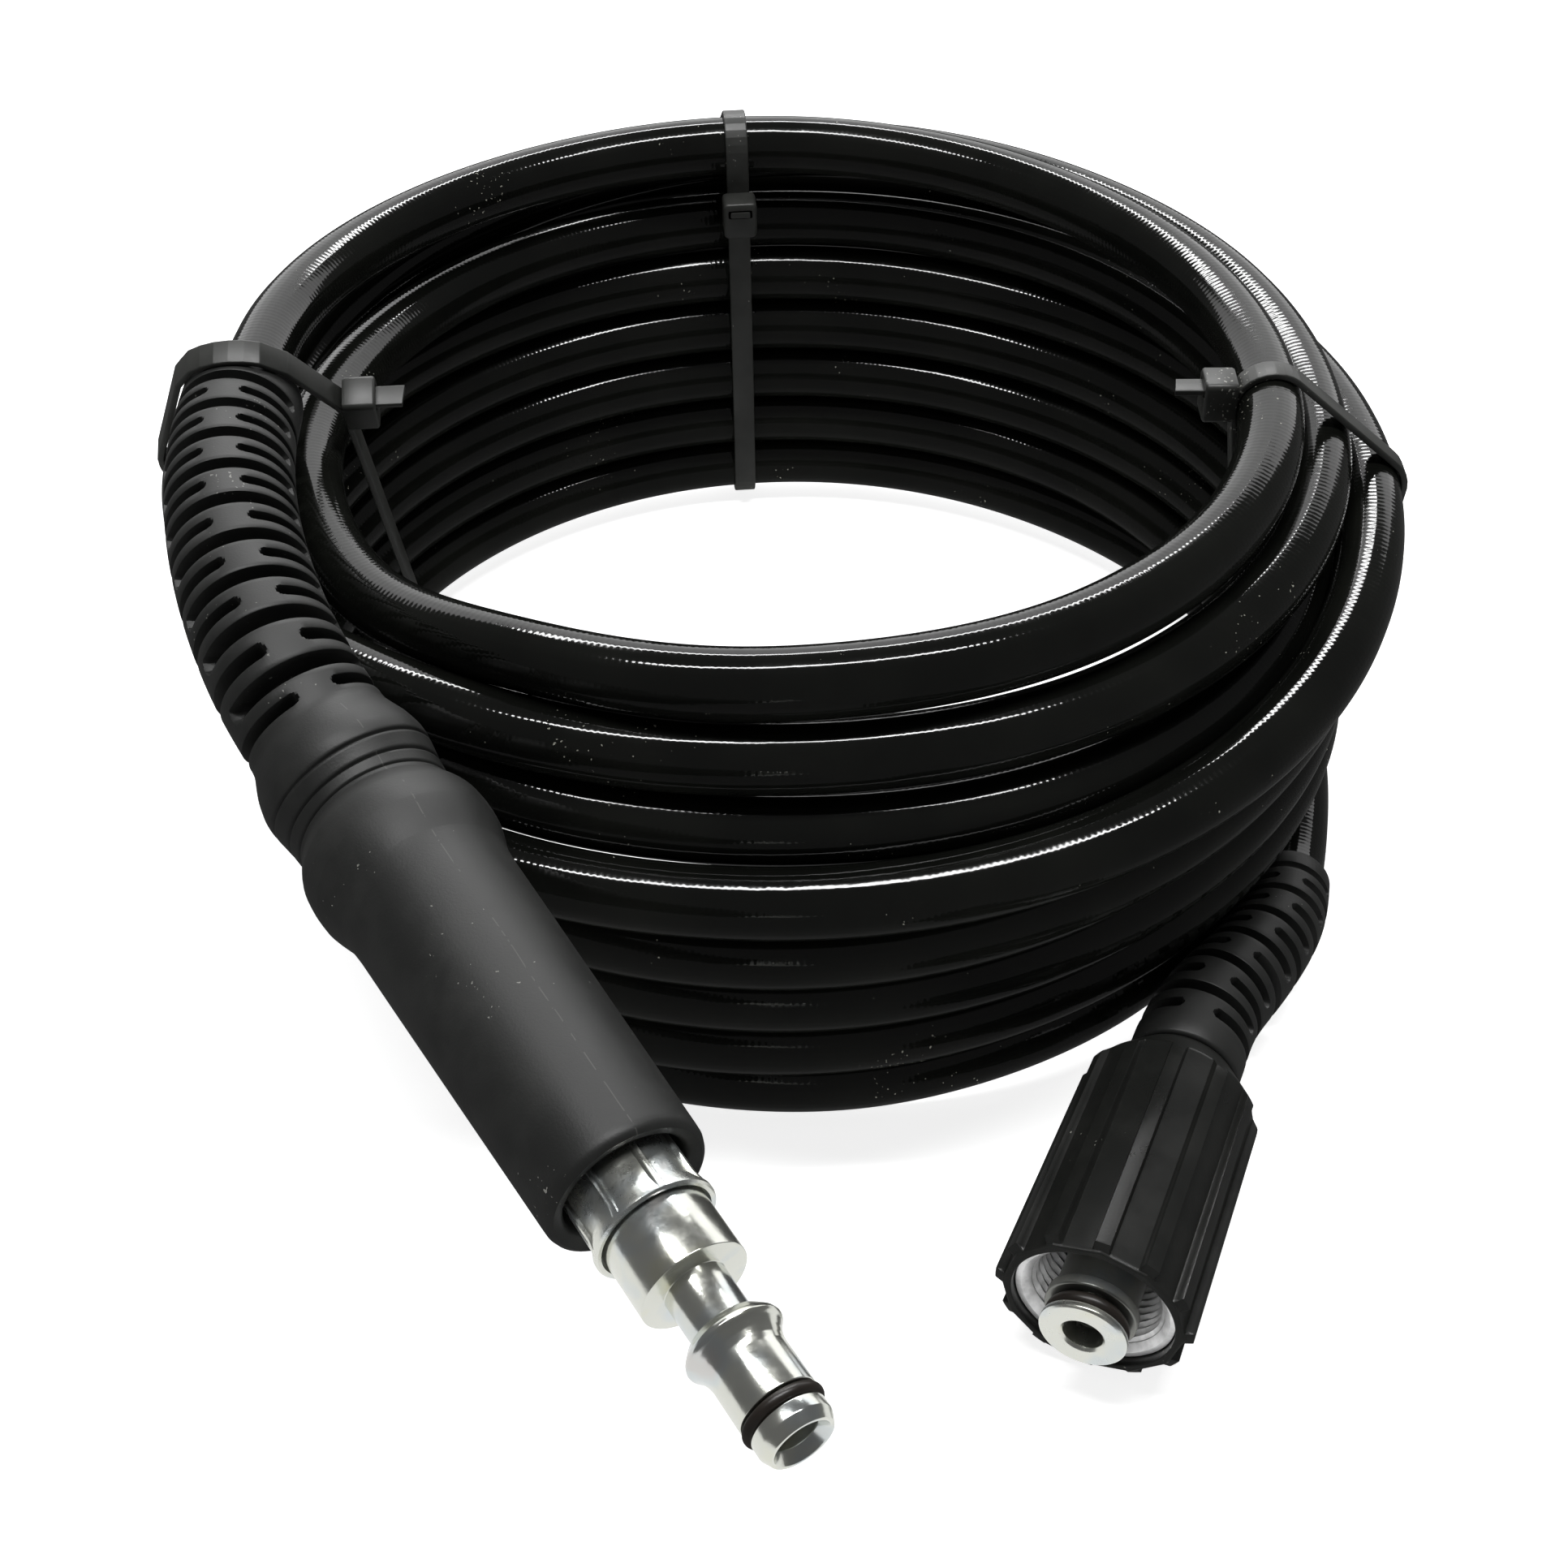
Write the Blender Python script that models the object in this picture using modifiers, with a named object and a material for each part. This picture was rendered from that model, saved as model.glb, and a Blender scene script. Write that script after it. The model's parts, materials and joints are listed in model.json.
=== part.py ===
"""Pressure washer hose, tied in a round coil that lies flat, with a gun plug and a screw coupling.

Metres, +Z up. The coil lies on the floor at z = 0. The grip sleeve and its plug reach out over
the front of the coil, towards -Y, and the screw coupling lies on the floor at the front right.
"""

import math

import bmesh
import bpy
from mathutils import Matrix, Vector

# Clearance between pieces that touch, and how far a cutter runs past what it cuts.
GAP = 0.0003
OVERSHOOT = 0.0010

# Radial play between the hose and the rubber round it.
HOSE_PLAY = 0.0006

# Flat sides of the round tubes: the rubber's outside, its bore, the hose and the O-rings.
RUBBER_SIDES = 16
BORE_SIDES = 12
HOSE_SIDES = 10
RING_SIDES = 6

# Hose.
HOSE_D = 0.012

# Coil: a neat lower stack of turns, and a looser crown of turns on it, set a little to the back.
STACK_TURNS = 5
STACK_R = 0.0978
STACK_FLARE = 0.0013
CROWN_OUT = 0.0006
CROWN_BACK = 0.0096
CROWN_SPREAD = 0.0068
CROWN_RISE = 0.0096
COIL_STEPS = 40
TURN_ARC_DEG = 60.0
TURN_ARC_POINTS = 4

# Cable ties round the coil.
TIE_WIDTH = 0.0048
TIE_THICK = 0.0012
TIE_CLEAR = 0.0008
TIE_HEAD = (0.0068, 0.0072, 0.0085)
TIE_TAIL = (0.0050, 0.0012, 0.0042)
TIE_ANGLES_DEG = {"back": 91.5, "left": 180.9, "right": -4.0}
TIE_LEANS_DEG = {"back": 0.0, "left": 26.0, "right": 0.0}
TIE_SIDES = 28

# Grip sleeve: length and outside diameters, by the distance from its rear end.
SLEEVE_LENGTH = 0.1853
SLEEVE_REAR_D = 0.0216
SLEEVE_SLOTTED_D = 0.0236
SLEEVE_BULGE_D = 0.0284
SLEEVE_WAIST_D = 0.0266
SLEEVE_SHOULDER_D = 0.0308
SLEEVE_GRIP_D = 0.0270
SLEEVE_MOUTH_D = 0.0246
SLEEVE_SLOT_ROWS = 18
SLEEVE_SLOT_START = 0.0061
SLEEVE_SLOT_END = 0.0871
SLEEVE_BULGE_START = 0.0878
SLEEVE_BULGE_AT = 0.0932
SLEEVE_WAIST_START = 0.0985
SLEEVE_WAIST_END = 0.1073
SLEEVE_SHOULDER_AT = 0.1123
SLEEVE_SHOULDER_END = 0.1193
SLEEVE_GRIP_START = 0.1243
SLEEVE_LIP = 0.0015
SLEEVE_MOUTH_DEPTH = 0.012

# Slots of the sleeve and of the bend protector. A slot's cutter reaches a share of the
# rubber's diameter out from its bridge.
SLOT_WIDTH = 0.0024
SLOT_BRIDGE = 0.0060
SLOT_REACH = 0.55

# Length over which a bore changes its diameter.
BORE_STEP = 0.0005

# Plug for the gun, by the distance from the sleeve's mouth.
FERRULE_D = 0.0170
FERRULE_RIM_D = 0.0184
FERRULE_RIM = 0.0014
FERRULE_OUT = 0.0076
FERRULE_RIDGES = 8
FERRULE_TURN_DEG = 37.4
FERRULE_RIDGE_WIDTH = 0.0010
FERRULE_RIDGE_HEIGHT = 0.0006
FERRULE_RIDGE_DEPTH = 0.0020
FERRULE_BORE_D = 0.0120
PLUG_BARREL_D = 0.0159
PLUG_BARREL_END = 0.0173
PLUG_NECK_D = 0.0091
PLUG_FLARE_START = 0.0252
PLUG_FLARE_AT = 0.0272
PLUG_FLARE_D = 0.0143
PLUG_SHAFT_START = 0.0308
PLUG_SHAFT_D = 0.0112
PLUG_RING_AT = 0.0387
PLUG_RING_D = 0.0118
PLUG_RING_WIRE = 0.0018
PLUG_TIP_D = 0.0108
PLUG_END_D = 0.0093
PLUG_LENGTH = 0.0432
PLUG_BORE_D = 0.0062
PLUG_TIP_BEVEL = 0.0016
PLUG_TIP_RIM = 0.0004
PLUG_BARREL_BEVEL = (0.0006, 0.0012)
PLUG_FLARE_FOOT = 0.0012
PLUG_FLARE_REAR = (0.0004, 0.0006)
PLUG_FLARE_FRONT = (0.0002, 0.0008)
TURNED_STEPS = 24

# Screw coupling: ribbed nut with a threaded metal insert, turning on a stem.
NUT_RIB_D = 0.0324
NUT_BODY_D = 0.0302
NUT_LENGTH = 0.0520
NUT_SHOULDER = 0.0070
NUT_RIBS = 12
NUT_RIB_SHARE = 0.34
NUT_FLANK_SHARE = 0.12
NUT_FRONT_BEVEL = 0.0012
NUT_DRAFT = 0.0012
NUT_REAR_BEVEL = (0.0014, 0.0006)
NUT_REAR_RIM_D = 0.0194
NUT_REAR_BORE_D = 0.0126
NUT_WEB = 0.0120
INSERT_D = 0.0262
INSERT_BORE_D = 0.0206
INSERT_LENGTH = 0.0180
INSERT_RECESS = 0.0012
INSERT_CHAMFER = 0.0008
STEM_D = 0.0142
STEM_DISC = 0.0013
STEM_OUT = 0.0052
STEM_BORE_D = 0.0065
STEM_CHAMFER = 0.0007
STEM_EDGE = 0.0003
STEM_GROOVE = 0.0030
STEM_COLLAR_D = 0.0150
STEM_SHANK_D = 0.0120
STEM_TAIL = 0.0020
STEM_RING_D = 0.0136
STEM_RING_WIRE = 0.0022

# Bend protector behind the nut.
PROTECTOR_LENGTH = 0.062
PROTECTOR_FRONT_D = 0.0197
PROTECTOR_REAR_D = 0.0150
PROTECTOR_COLLAR = 0.0049
PROTECTOR_SLOT_ROWS = 12
PROTECTOR_REAR_PLAIN = 0.0037

# Routes, chosen by hand: angle round the coil in degrees, distance outside the lowest turn's
# center line, and height. The sleeve's starts at its rear end.
SLEEVE_ROUTE = (
    (179.2, -0.0007, 0.0905),
    (188.0, 0.0005, 0.0906),
    (196.6, 0.0024, 0.0903),
    (204.9, 0.0051, 0.0893),
    (212.8, 0.0084, 0.0872),
    (220.4, 0.0120, 0.0842),
)
SHOULDER_AT = (241.4, 0.0282, 0.0738)
GRIP_HEADING_DEG = 28.4
GRIP_DESCENT_DEG = 3.3
NUT_FRONT = (-75.8, 0.0598)
NUT_HEADING_DEG = -26.8
TAIL_TOUCH_DEG = (42.0, -20.0)
TAIL_ROUTE = (
    (-30.0, 0.0147, 0.0085),
    (-36.1, 0.0162, 0.0110),
    (-45.4, 0.0158, 0.0141),
)
TAIL_NUT_LEAD = 0.012


def base_height():
    """Height of the coil's underside: the ties pass under it."""
    return TIE_THICK + TIE_CLEAR


def turn_height(number):
    """Height of the center of a turn of the lower stack."""
    return base_height() + (number + 0.5) * HOSE_D


def stack_radius(number):
    """Centre radius of a turn of the lower stack."""
    return STACK_R + STACK_FLARE * number


def ring_place(angle_deg, outward, height):
    """Point at an angle round the coil, a distance outside the lowest turn's center line."""
    angle = math.radians(angle_deg)
    radius = STACK_R + outward
    return Vector((radius * math.cos(angle), radius * math.sin(angle), height))


def crown_turns():
    """Turns of the crown, as radius and height of their centers."""
    low = turn_height(STACK_TURNS) + GAP
    middle = STACK_R + CROWN_OUT
    return (
        (middle, low),
        (middle - CROWN_SPREAD, low + CROWN_RISE),
        (middle + CROWN_SPREAD, low + CROWN_RISE),
        (middle - 0.3 * CROWN_SPREAD, low + 2.0 * CROWN_RISE),
    )


def remove_all():
    for thing in list(bpy.data.objects):
        bpy.data.objects.remove(thing, do_unlink=True)


def new_collection(name):
    collection = bpy.data.collections.new(name)
    bpy.context.scene.collection.children.link(collection)
    return collection


def new_material(name, color, roughness, metallic):
    material = bpy.data.materials.new(name)
    material.use_nodes = True
    shader = material.node_tree.nodes["Principled BSDF"]
    shader.inputs["Base Color"].default_value = (color[0], color[1], color[2], 1.0)
    shader.inputs["Roughness"].default_value = roughness
    shader.inputs["Metallic"].default_value = metallic
    material.diffuse_color = (color[0], color[1], color[2], 1.0)
    return material


def add_object(name, data, collection, material=None, matrix=None):
    thing = bpy.data.objects.new(name, data)
    collection.objects.link(thing)
    if material is not None:
        data.materials.append(material)
    if matrix is not None:
        thing.matrix_world = matrix
    return thing


def make_cutter(thing):
    thing.hide_render = True
    thing.display_type = "WIRE"


def arc(center, radius, start_deg, end_deg, count):
    """Points on a circle's arc, from one angle to another."""
    points = []
    for i in range(count):
        angle = math.radians(start_deg + (end_deg - start_deg) * i / (count - 1))
        points.append((center[0] + radius * math.cos(angle), center[1] + radius * math.sin(angle)))
    return points


def turned(name, outline, steps, collection, material, matrix=None):
    """A closed outline in radius and height, turned about local Z. The outer side runs down."""
    mesh = bpy.data.meshes.new(name)
    count = len(outline)
    edges = [(i, (i + 1) % count) for i in range(count)]
    mesh.from_pydata([(r, 0.0, z) for r, z in outline], edges, [])
    thing = add_object(name, mesh, collection, material, matrix)
    screw = thing.modifiers.new("turn", "SCREW")
    screw.axis = "Z"
    screw.angle = math.radians(360.0)
    screw.steps = steps
    screw.render_steps = steps
    screw.use_merge_vertices = True
    screw.merge_threshold = 0.00001
    screw.use_smooth_shade = True
    return thing


def apply_modifiers(thing):
    """Turn the evaluated object, modifiers and all, into its own plain mesh."""
    bpy.context.view_layer.update()
    evaluated = thing.evaluated_get(bpy.context.evaluated_depsgraph_get())
    mesh = bpy.data.meshes.new_from_object(evaluated)
    mesh.name = thing.name
    thing.modifiers.clear()
    thing.data = mesh


def curve_to_mesh(thing, collection):
    """Replace a curve by its mesh, with its caps welded."""
    bpy.context.view_layer.update()
    evaluated = thing.evaluated_get(bpy.context.evaluated_depsgraph_get())
    mesh = bpy.data.meshes.new_from_object(evaluated)
    work = bmesh.new()
    work.from_mesh(mesh)
    bmesh.ops.remove_doubles(work, verts=work.verts, dist=0.00001)
    bmesh.ops.recalc_face_normals(work, faces=work.faces)
    work.to_mesh(mesh)
    work.free()
    name = thing.name
    matrix = thing.matrix_world.copy()
    bpy.data.objects.remove(thing, do_unlink=True)
    return add_object(name, mesh, collection, None, matrix)


def add_cutter(name, work, cutters, matrix=None):
    """Turn finished bmesh work into a hidden cutter."""
    mesh = bpy.data.meshes.new(name)
    work.to_mesh(mesh)
    work.free()
    cutter = add_object(name, mesh, cutters, None, matrix)
    make_cutter(cutter)
    return cutter


def boolean(thing, other, operation):
    modifier = thing.modifiers.new(operation.lower(), "BOOLEAN")
    modifier.operation = operation
    modifier.solver = "EXACT"
    modifier.object = other
    return modifier


def smooth_shading(thing, angle_deg):
    thing.data.shade_smooth()
    thing.data.set_sharp_from_angle(angle=math.radians(angle_deg))


def spline_through(points, per_span):
    """Smooth curve through hand-chosen points, read at several points a span."""
    known = [Vector(p) for p in points]
    known.insert(0, known[0] * 2.0 - known[1])
    known.append(known[-1] * 2.0 - known[-2])
    result = []
    for i in range(1, len(known) - 2):
        a, b, c, d = known[i - 1:i + 3]
        for j in range(per_span):
            t = j / per_span
            result.append(
                0.5 * (2.0 * b + (c - a) * t + (2.0 * a - 5.0 * b + 4.0 * c - d) * t ** 2
                       + (3.0 * b - a - 3.0 * c + d) * t ** 3))
    result.append(known[-2].copy())
    return result


def lengths_along(points):
    total = [0.0]
    for a, b in zip(points, points[1:]):
        total.append(total[-1] + (b - a).length)
    return total


def place_at(points, total, where):
    """Point on a polyline at a distance from its start, straight on past its ends."""
    last = len(points) - 2
    k = 0
    while k < last and total[k + 1] < where:
        k += 1
    share = (where - total[k]) / (total[k + 1] - total[k])
    return points[k].lerp(points[k + 1], share)


def direction_at(points, total, where):
    """Direction of a polyline, taken over half a hose diameter."""
    step = 0.25 * HOSE_D
    ahead = place_at(points, total, where + step)
    behind = place_at(points, total, where - step)
    return (ahead - behind).normalized()


def resample(points, stations):
    total = lengths_along(points)
    return [place_at(points, total, s) for s in stations]


def across_flats(radius, sides):
    """Corner radius of a tube whose flat sides lie at a radius."""
    return radius / math.cos(math.pi / sides)


def tube(name, points, radii, sides, collection, material=None):
    """A round tube along points, as a curve with a bevel and filled caps."""
    curve = bpy.data.curves.new(name, "CURVE")
    curve.dimensions = "3D"
    curve.bevel_depth = 1.0
    curve.bevel_resolution = (sides - 4) // 2
    curve.use_fill_caps = True
    curve.twist_mode = "MINIMUM"
    spline = curve.splines.new("POLY")
    spline.points.add(len(points) - 1)
    for place, point, radius in zip(spline.points, points, radii):
        place.co = (point.x, point.y, point.z, 1.0)
        place.radius = radius
    return add_object(name, curve, collection, material)


def axis_frame(origin, direction):
    """Matrix with local Z along a direction and local Y as level as can be."""
    z_axis = Vector(direction).normalized()
    y_axis = Vector((0.0, 0.0, 1.0)).cross(z_axis)
    y_axis = y_axis.normalized() if y_axis.length > 1e-6 else Vector((0.0, 1.0, 0.0))
    x_axis = y_axis.cross(z_axis)
    matrix = Matrix((x_axis, y_axis, z_axis)).transposed().to_4x4()
    matrix.translation = Vector(origin)
    return matrix


def heading(degrees, descent_deg):
    """Direction that points to -Y, turned towards +X, and down."""
    turn = math.radians(degrees)
    fall = math.radians(descent_deg)
    flat = math.cos(fall)
    return Vector((math.sin(turn) * flat, -math.cos(turn) * flat, -math.sin(fall)))


def sleeve_points():
    """The sleeve's center line: the hand-chosen bend, then the straight grip to its mouth."""
    direction = heading(GRIP_HEADING_DEG, GRIP_DESCENT_DEG)
    shoulder = ring_place(*SHOULDER_AT)
    grip = SLEEVE_LENGTH - SLEEVE_GRIP_START
    straight = [shoulder + direction * (grip * share) for share in (-0.35, -0.15, 0.0)]
    bend = [ring_place(*place) for place in SLEEVE_ROUTE]
    points = spline_through([*bend, *straight], 6)
    total = lengths_along(points)
    points.append(points[-1] + direction * (SLEEVE_LENGTH - total[-1]))
    return points


def mouth_frame(points):
    """Frame at the sleeve's mouth, with local Z out of it."""
    direction = (points[-1] - points[-2]).normalized()
    return axis_frame(points[-1], direction)


def nut_frame():
    """Frame at the nut's front face, with local Z out of its mouth. The ribs rest on the floor."""
    direction = heading(NUT_HEADING_DEG, 0.0)
    return axis_frame(ring_place(*NUT_FRONT, 0.5 * NUT_RIB_D), direction)


def tail_points():
    """The lower end of the hose: beside the lowest turn, then away to the back of the nut."""
    start, end = TAIL_TOUCH_DEG
    along = [ring_place(start + (end - start) * i / 5, HOSE_D + 2.0 * GAP, turn_height(0))
             for i in range(6)]
    away = [ring_place(*place) for place in TAIL_ROUTE]
    frame = nut_frame()
    straight = [frame @ Vector((0.0, 0.0, -NUT_LENGTH - TAIL_NUT_LEAD * share))
                for share in (1.0, 0.5, 0.0)]
    points = spline_through([*along, *away, *straight[:2]], 5)
    points.append(straight[2])
    return points


def stack_outline():
    """Section of the lower stack: each turn shows as a rib on the inside and on the outside."""
    radius = 0.5 * HOSE_D
    down = []
    up = []
    for number in reversed(range(STACK_TURNS)):
        center = (stack_radius(number), turn_height(number))
        start = 90.0 if number == STACK_TURNS - 1 else TURN_ARC_DEG
        end = -90.0 if number == 0 else -TURN_ARC_DEG
        down += arc(center, radius, start, end, TURN_ARC_POINTS)
    for number in range(STACK_TURNS):
        center = (stack_radius(number), turn_height(number))
        start = 270.0 if number == 0 else 180.0 + TURN_ARC_DEG
        end = 90.0 if number == STACK_TURNS - 1 else 180.0 - TURN_ARC_DEG
        up += arc(center, radius, start, end, TURN_ARC_POINTS)
    return down + up[1:-1]


def crown_outline(count=24):
    """Section of the crown: the outline of its turns, seen from their middle."""
    turns = crown_turns()
    radius = 0.5 * HOSE_D
    middle = (turns[0][0], turns[1][1])
    outline = []
    for i in range(count):
        angle = math.pi / 2.0 - 2.0 * math.pi * i / count
        ray = (math.cos(angle), math.sin(angle))
        reach = 0.6 * radius
        for r, z in turns:
            along = (r - middle[0]) * ray[0] + (z - middle[1]) * ray[1]
            across = abs((r - middle[0]) * ray[1] - (z - middle[1]) * ray[0])
            if across < radius:
                reach = max(reach, along + math.sqrt(radius ** 2 - across ** 2))
        outline.append((middle[0] + reach * ray[0], middle[1] + reach * ray[1]))
    return outline


def build_stack(parts, material):
    return turned("hose_coil_stack", stack_outline(), COIL_STEPS, parts, material)


def sleeve_rear_cut(points, cutters):
    """Cutter for the bed that the sleeve lies in on the crown."""
    stations = [s for s in sleeve_stations() if s <= SLEEVE_SHOULDER_END]
    wide = [max(SLEEVE_SLOTTED_D, sleeve_diameter(s)) for s in stations]
    stations[0] = -GAP
    line = resample(points, stations)
    radii = [across_flats(0.5 * d + GAP, RUBBER_SIDES) for d in wide]
    cutter = curve_to_mesh(tube("sleeve_bed", line, radii, RUBBER_SIDES, cutters), cutters)
    make_cutter(cutter)
    return cutter


def build_crown(parts, cutters, material, sleeve):
    crown = turned("hose_coil_crown", crown_outline(), COIL_STEPS, parts, material,
                   Matrix.Translation((0.0, CROWN_BACK, 0.0)))
    boolean(crown, sleeve_rear_cut(sleeve, cutters), "DIFFERENCE")
    return crown


def build_tubes(parts, material, sleeve, tail):
    """The hose inside the sleeve, and the stretch from the coil to the nut's bend protector."""
    end = SLEEVE_LENGTH - SLEEVE_MOUTH_DEPTH - GAP
    inner = resample(sleeve, [end * i / 26 for i in range(27)])
    tube("hose_in_sleeve", inner, [0.5 * HOSE_D] * len(inner), HOSE_SIDES, parts, material)
    total = lengths_along(tail)
    stop = total[-1] - GAP - STEM_TAIL
    line = resample(tail, [stop * i / 26 for i in range(27)])
    tube("hose_tail", line, [0.5 * HOSE_D] * len(line), HOSE_SIDES, parts, material)


def slot_boxes(name, points, rows, start, end, reach, cutters):
    """Boxes that cut the slots: each row leaves two bridges, turned by 90 degrees from row to row."""
    total = lengths_along(points)
    work = bmesh.new()
    for row in range(rows):
        where = start + (end - start) * (row + 0.5) / rows
        frame = axis_frame(place_at(points, total, where), direction_at(points, total, where))
        for side in (-1.0, 1.0):
            offset = side * (0.5 * SLOT_BRIDGE + 0.5 * reach)
            if row % 2:
                size = (2.0 * reach, reach, SLOT_WIDTH)
                move = Matrix.Translation((0.0, offset, 0.0))
            else:
                size = (reach, 2.0 * reach, SLOT_WIDTH)
                move = Matrix.Translation((offset, 0.0, 0.0))
            scale = Matrix.Diagonal((size[0], size[1], size[2], 1.0))
            bmesh.ops.create_cube(work, size=1.0, matrix=frame @ move @ scale)
    return add_cutter(name, work, cutters)


def sleeve_diameter(s):
    """Outside diameter of the sleeve at a distance from its rear end."""
    stops = (
        (0.0, SLEEVE_REAR_D),
        (SLEEVE_SLOT_START, SLEEVE_REAR_D),
        (SLEEVE_SLOT_END, SLEEVE_SLOTTED_D),
        (SLEEVE_BULGE_START, SLEEVE_SLOTTED_D),
        (SLEEVE_BULGE_AT, SLEEVE_BULGE_D),
        (SLEEVE_WAIST_START, SLEEVE_BULGE_D),
        (0.5 * (SLEEVE_WAIST_START + SLEEVE_WAIST_END), SLEEVE_WAIST_D),
        (SLEEVE_WAIST_END, SLEEVE_WAIST_D),
        (SLEEVE_SHOULDER_AT, SLEEVE_SHOULDER_D),
        (SLEEVE_SHOULDER_END, SLEEVE_SHOULDER_D),
        (SLEEVE_GRIP_START, SLEEVE_GRIP_D),
        (SLEEVE_LENGTH - SLEEVE_LIP, SLEEVE_MOUTH_D),
        (SLEEVE_LENGTH, SLEEVE_MOUTH_D - SLEEVE_LIP),
    )
    for (s0, d0), (s1, d1) in zip(stops, stops[1:]):
        if s <= s1:
            return d0 + (d1 - d0) * (s - s0) / (s1 - s0)
    return stops[-1][1]


def sleeve_stations():
    rows = [SLEEVE_SLOT_START + (SLEEVE_SLOT_END - SLEEVE_SLOT_START) * i / 16 for i in range(17)]
    return [0.0, *rows, SLEEVE_BULGE_START, SLEEVE_BULGE_AT, SLEEVE_WAIST_START,
            0.5 * (SLEEVE_WAIST_START + SLEEVE_WAIST_END), SLEEVE_WAIST_END, SLEEVE_SHOULDER_AT,
            SLEEVE_SHOULDER_END, SLEEVE_GRIP_START, SLEEVE_LENGTH - SLEEVE_LIP, SLEEVE_LENGTH]


def bored_tube(name, points, stations, diameters, bores, cutters, parts):
    """A tube of changing diameter with a bore of changing diameter through it."""
    line = resample(points, stations)
    body = tube(name, line, [0.5 * d for d in diameters], RUBBER_SIDES, parts)
    body = curve_to_mesh(body, parts)
    inside = [(s, d) for s, d in bores if stations[0] < s < stations[-1]]
    inside = [(stations[0] - OVERSHOOT, bores[0][1]), *inside, (stations[-1] + OVERSHOOT, bores[-1][1])]
    inner_stations = [s for s, _ in inside]
    inner_radii = [across_flats(0.5 * d, BORE_SIDES) for _, d in inside]
    inner = resample(points, inner_stations)
    bore = curve_to_mesh(tube(name + "_bore", inner, inner_radii, BORE_SIDES, cutters), cutters)
    make_cutter(bore)
    boolean(body, bore, "DIFFERENCE")
    return body


def build_sleeve(parts, cutters, material, points):
    """The one-piece rubber grip, with its slotted bend protector at the rear."""
    stations = sleeve_stations()
    hose_bore = HOSE_D + 2.0 * HOSE_PLAY
    mouth_bore = FERRULE_D + 2.0 * FERRULE_RIDGE_HEIGHT + 2.0 * GAP
    seat = SLEEVE_LENGTH - SLEEVE_MOUTH_DEPTH - GAP
    bores = [(s, hose_bore) for s in stations if s < seat - 4.0 * BORE_STEP]
    bores += [(seat - 2.0 * BORE_STEP, hose_bore), (seat - BORE_STEP, mouth_bore),
              (SLEEVE_LENGTH, mouth_bore)]
    diameters = [sleeve_diameter(s) for s in stations]
    sleeve = bored_tube("grip_sleeve", points, stations, diameters, bores, cutters, parts)
    slots = slot_boxes("sleeve_slots", points, SLEEVE_SLOT_ROWS, SLEEVE_SLOT_START,
                       SLEEVE_SLOT_END, SLOT_REACH * SLEEVE_SLOTTED_D, cutters)
    boolean(sleeve, slots, "DIFFERENCE")
    apply_modifiers(sleeve)
    sleeve.data.materials.clear()
    sleeve.data.materials.append(material)
    smooth_shading(sleeve, 30.0)
    return sleeve


def build_protector(parts, cutters, material, tail):
    """The slotted rubber bend protector behind the nut."""
    total = lengths_along(tail)
    front = total[-1] - GAP
    rear = front - PROTECTOR_LENGTH
    collar = front - PROTECTOR_COLLAR
    stations = [rear + (collar - rear) * i / 14 for i in range(15)]
    stations += [front - 0.4 * PROTECTOR_COLLAR, front]
    diameters = []
    for s in stations:
        share = min(1.0, (s - rear) / (collar - rear))
        diameters.append(PROTECTOR_REAR_D + (PROTECTOR_FRONT_D - PROTECTOR_REAR_D) * share)
    bores = [(s, HOSE_D + 2.0 * HOSE_PLAY) for s in stations[:-1]]
    body = bored_tube("bend_protector", tail, stations, diameters, bores, cutters, parts)
    slots = slot_boxes("protector_slots", tail, PROTECTOR_SLOT_ROWS, rear + PROTECTOR_REAR_PLAIN,
                       collar, SLOT_REACH * PROTECTOR_FRONT_D, cutters)
    boolean(body, slots, "DIFFERENCE")
    apply_modifiers(body)
    body.data.materials.clear()
    body.data.materials.append(material)
    smooth_shading(body, 30.0)
    return body


def build_ferrule(parts, cutters, material, frame):
    """The crimped sleeve of the plug: a turned shell with raised ridges left by the crimping."""
    back = -SLEEVE_MOUTH_DEPTH
    front = FERRULE_OUT
    outline = [
        (0.5 * FERRULE_D, front - FERRULE_RIM),
        (0.5 * FERRULE_D, back),
        (0.5 * FERRULE_BORE_D, back),
        (0.5 * FERRULE_BORE_D, front),
        (0.5 * FERRULE_RIM_D, front),
        (0.5 * FERRULE_RIM_D, front - 0.6 * FERRULE_RIM),
    ]
    ferrule = turned("plug_ferrule", outline, TURNED_STEPS, parts, material, frame)
    work = bmesh.new()
    length = front - FERRULE_RIM - back - 2.0 * GAP
    for i in range(FERRULE_RIDGES):
        angle = math.radians(FERRULE_TURN_DEG + 360.0 * i / FERRULE_RIDGES)
        turn = Matrix.Rotation(angle, 4, "Z")
        middle = 0.5 * FERRULE_D + FERRULE_RIDGE_HEIGHT - 0.5 * FERRULE_RIDGE_DEPTH
        move = Matrix.Translation((middle, 0.0, back + GAP + 0.5 * length))
        scale = Matrix.Diagonal((FERRULE_RIDGE_DEPTH, FERRULE_RIDGE_WIDTH, length, 1.0))
        bmesh.ops.create_cube(work, size=1.0, matrix=turn @ move @ scale)
    boolean(ferrule, add_cutter("ferrule_ridges", work, cutters, frame), "UNION")
    return ferrule


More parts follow.
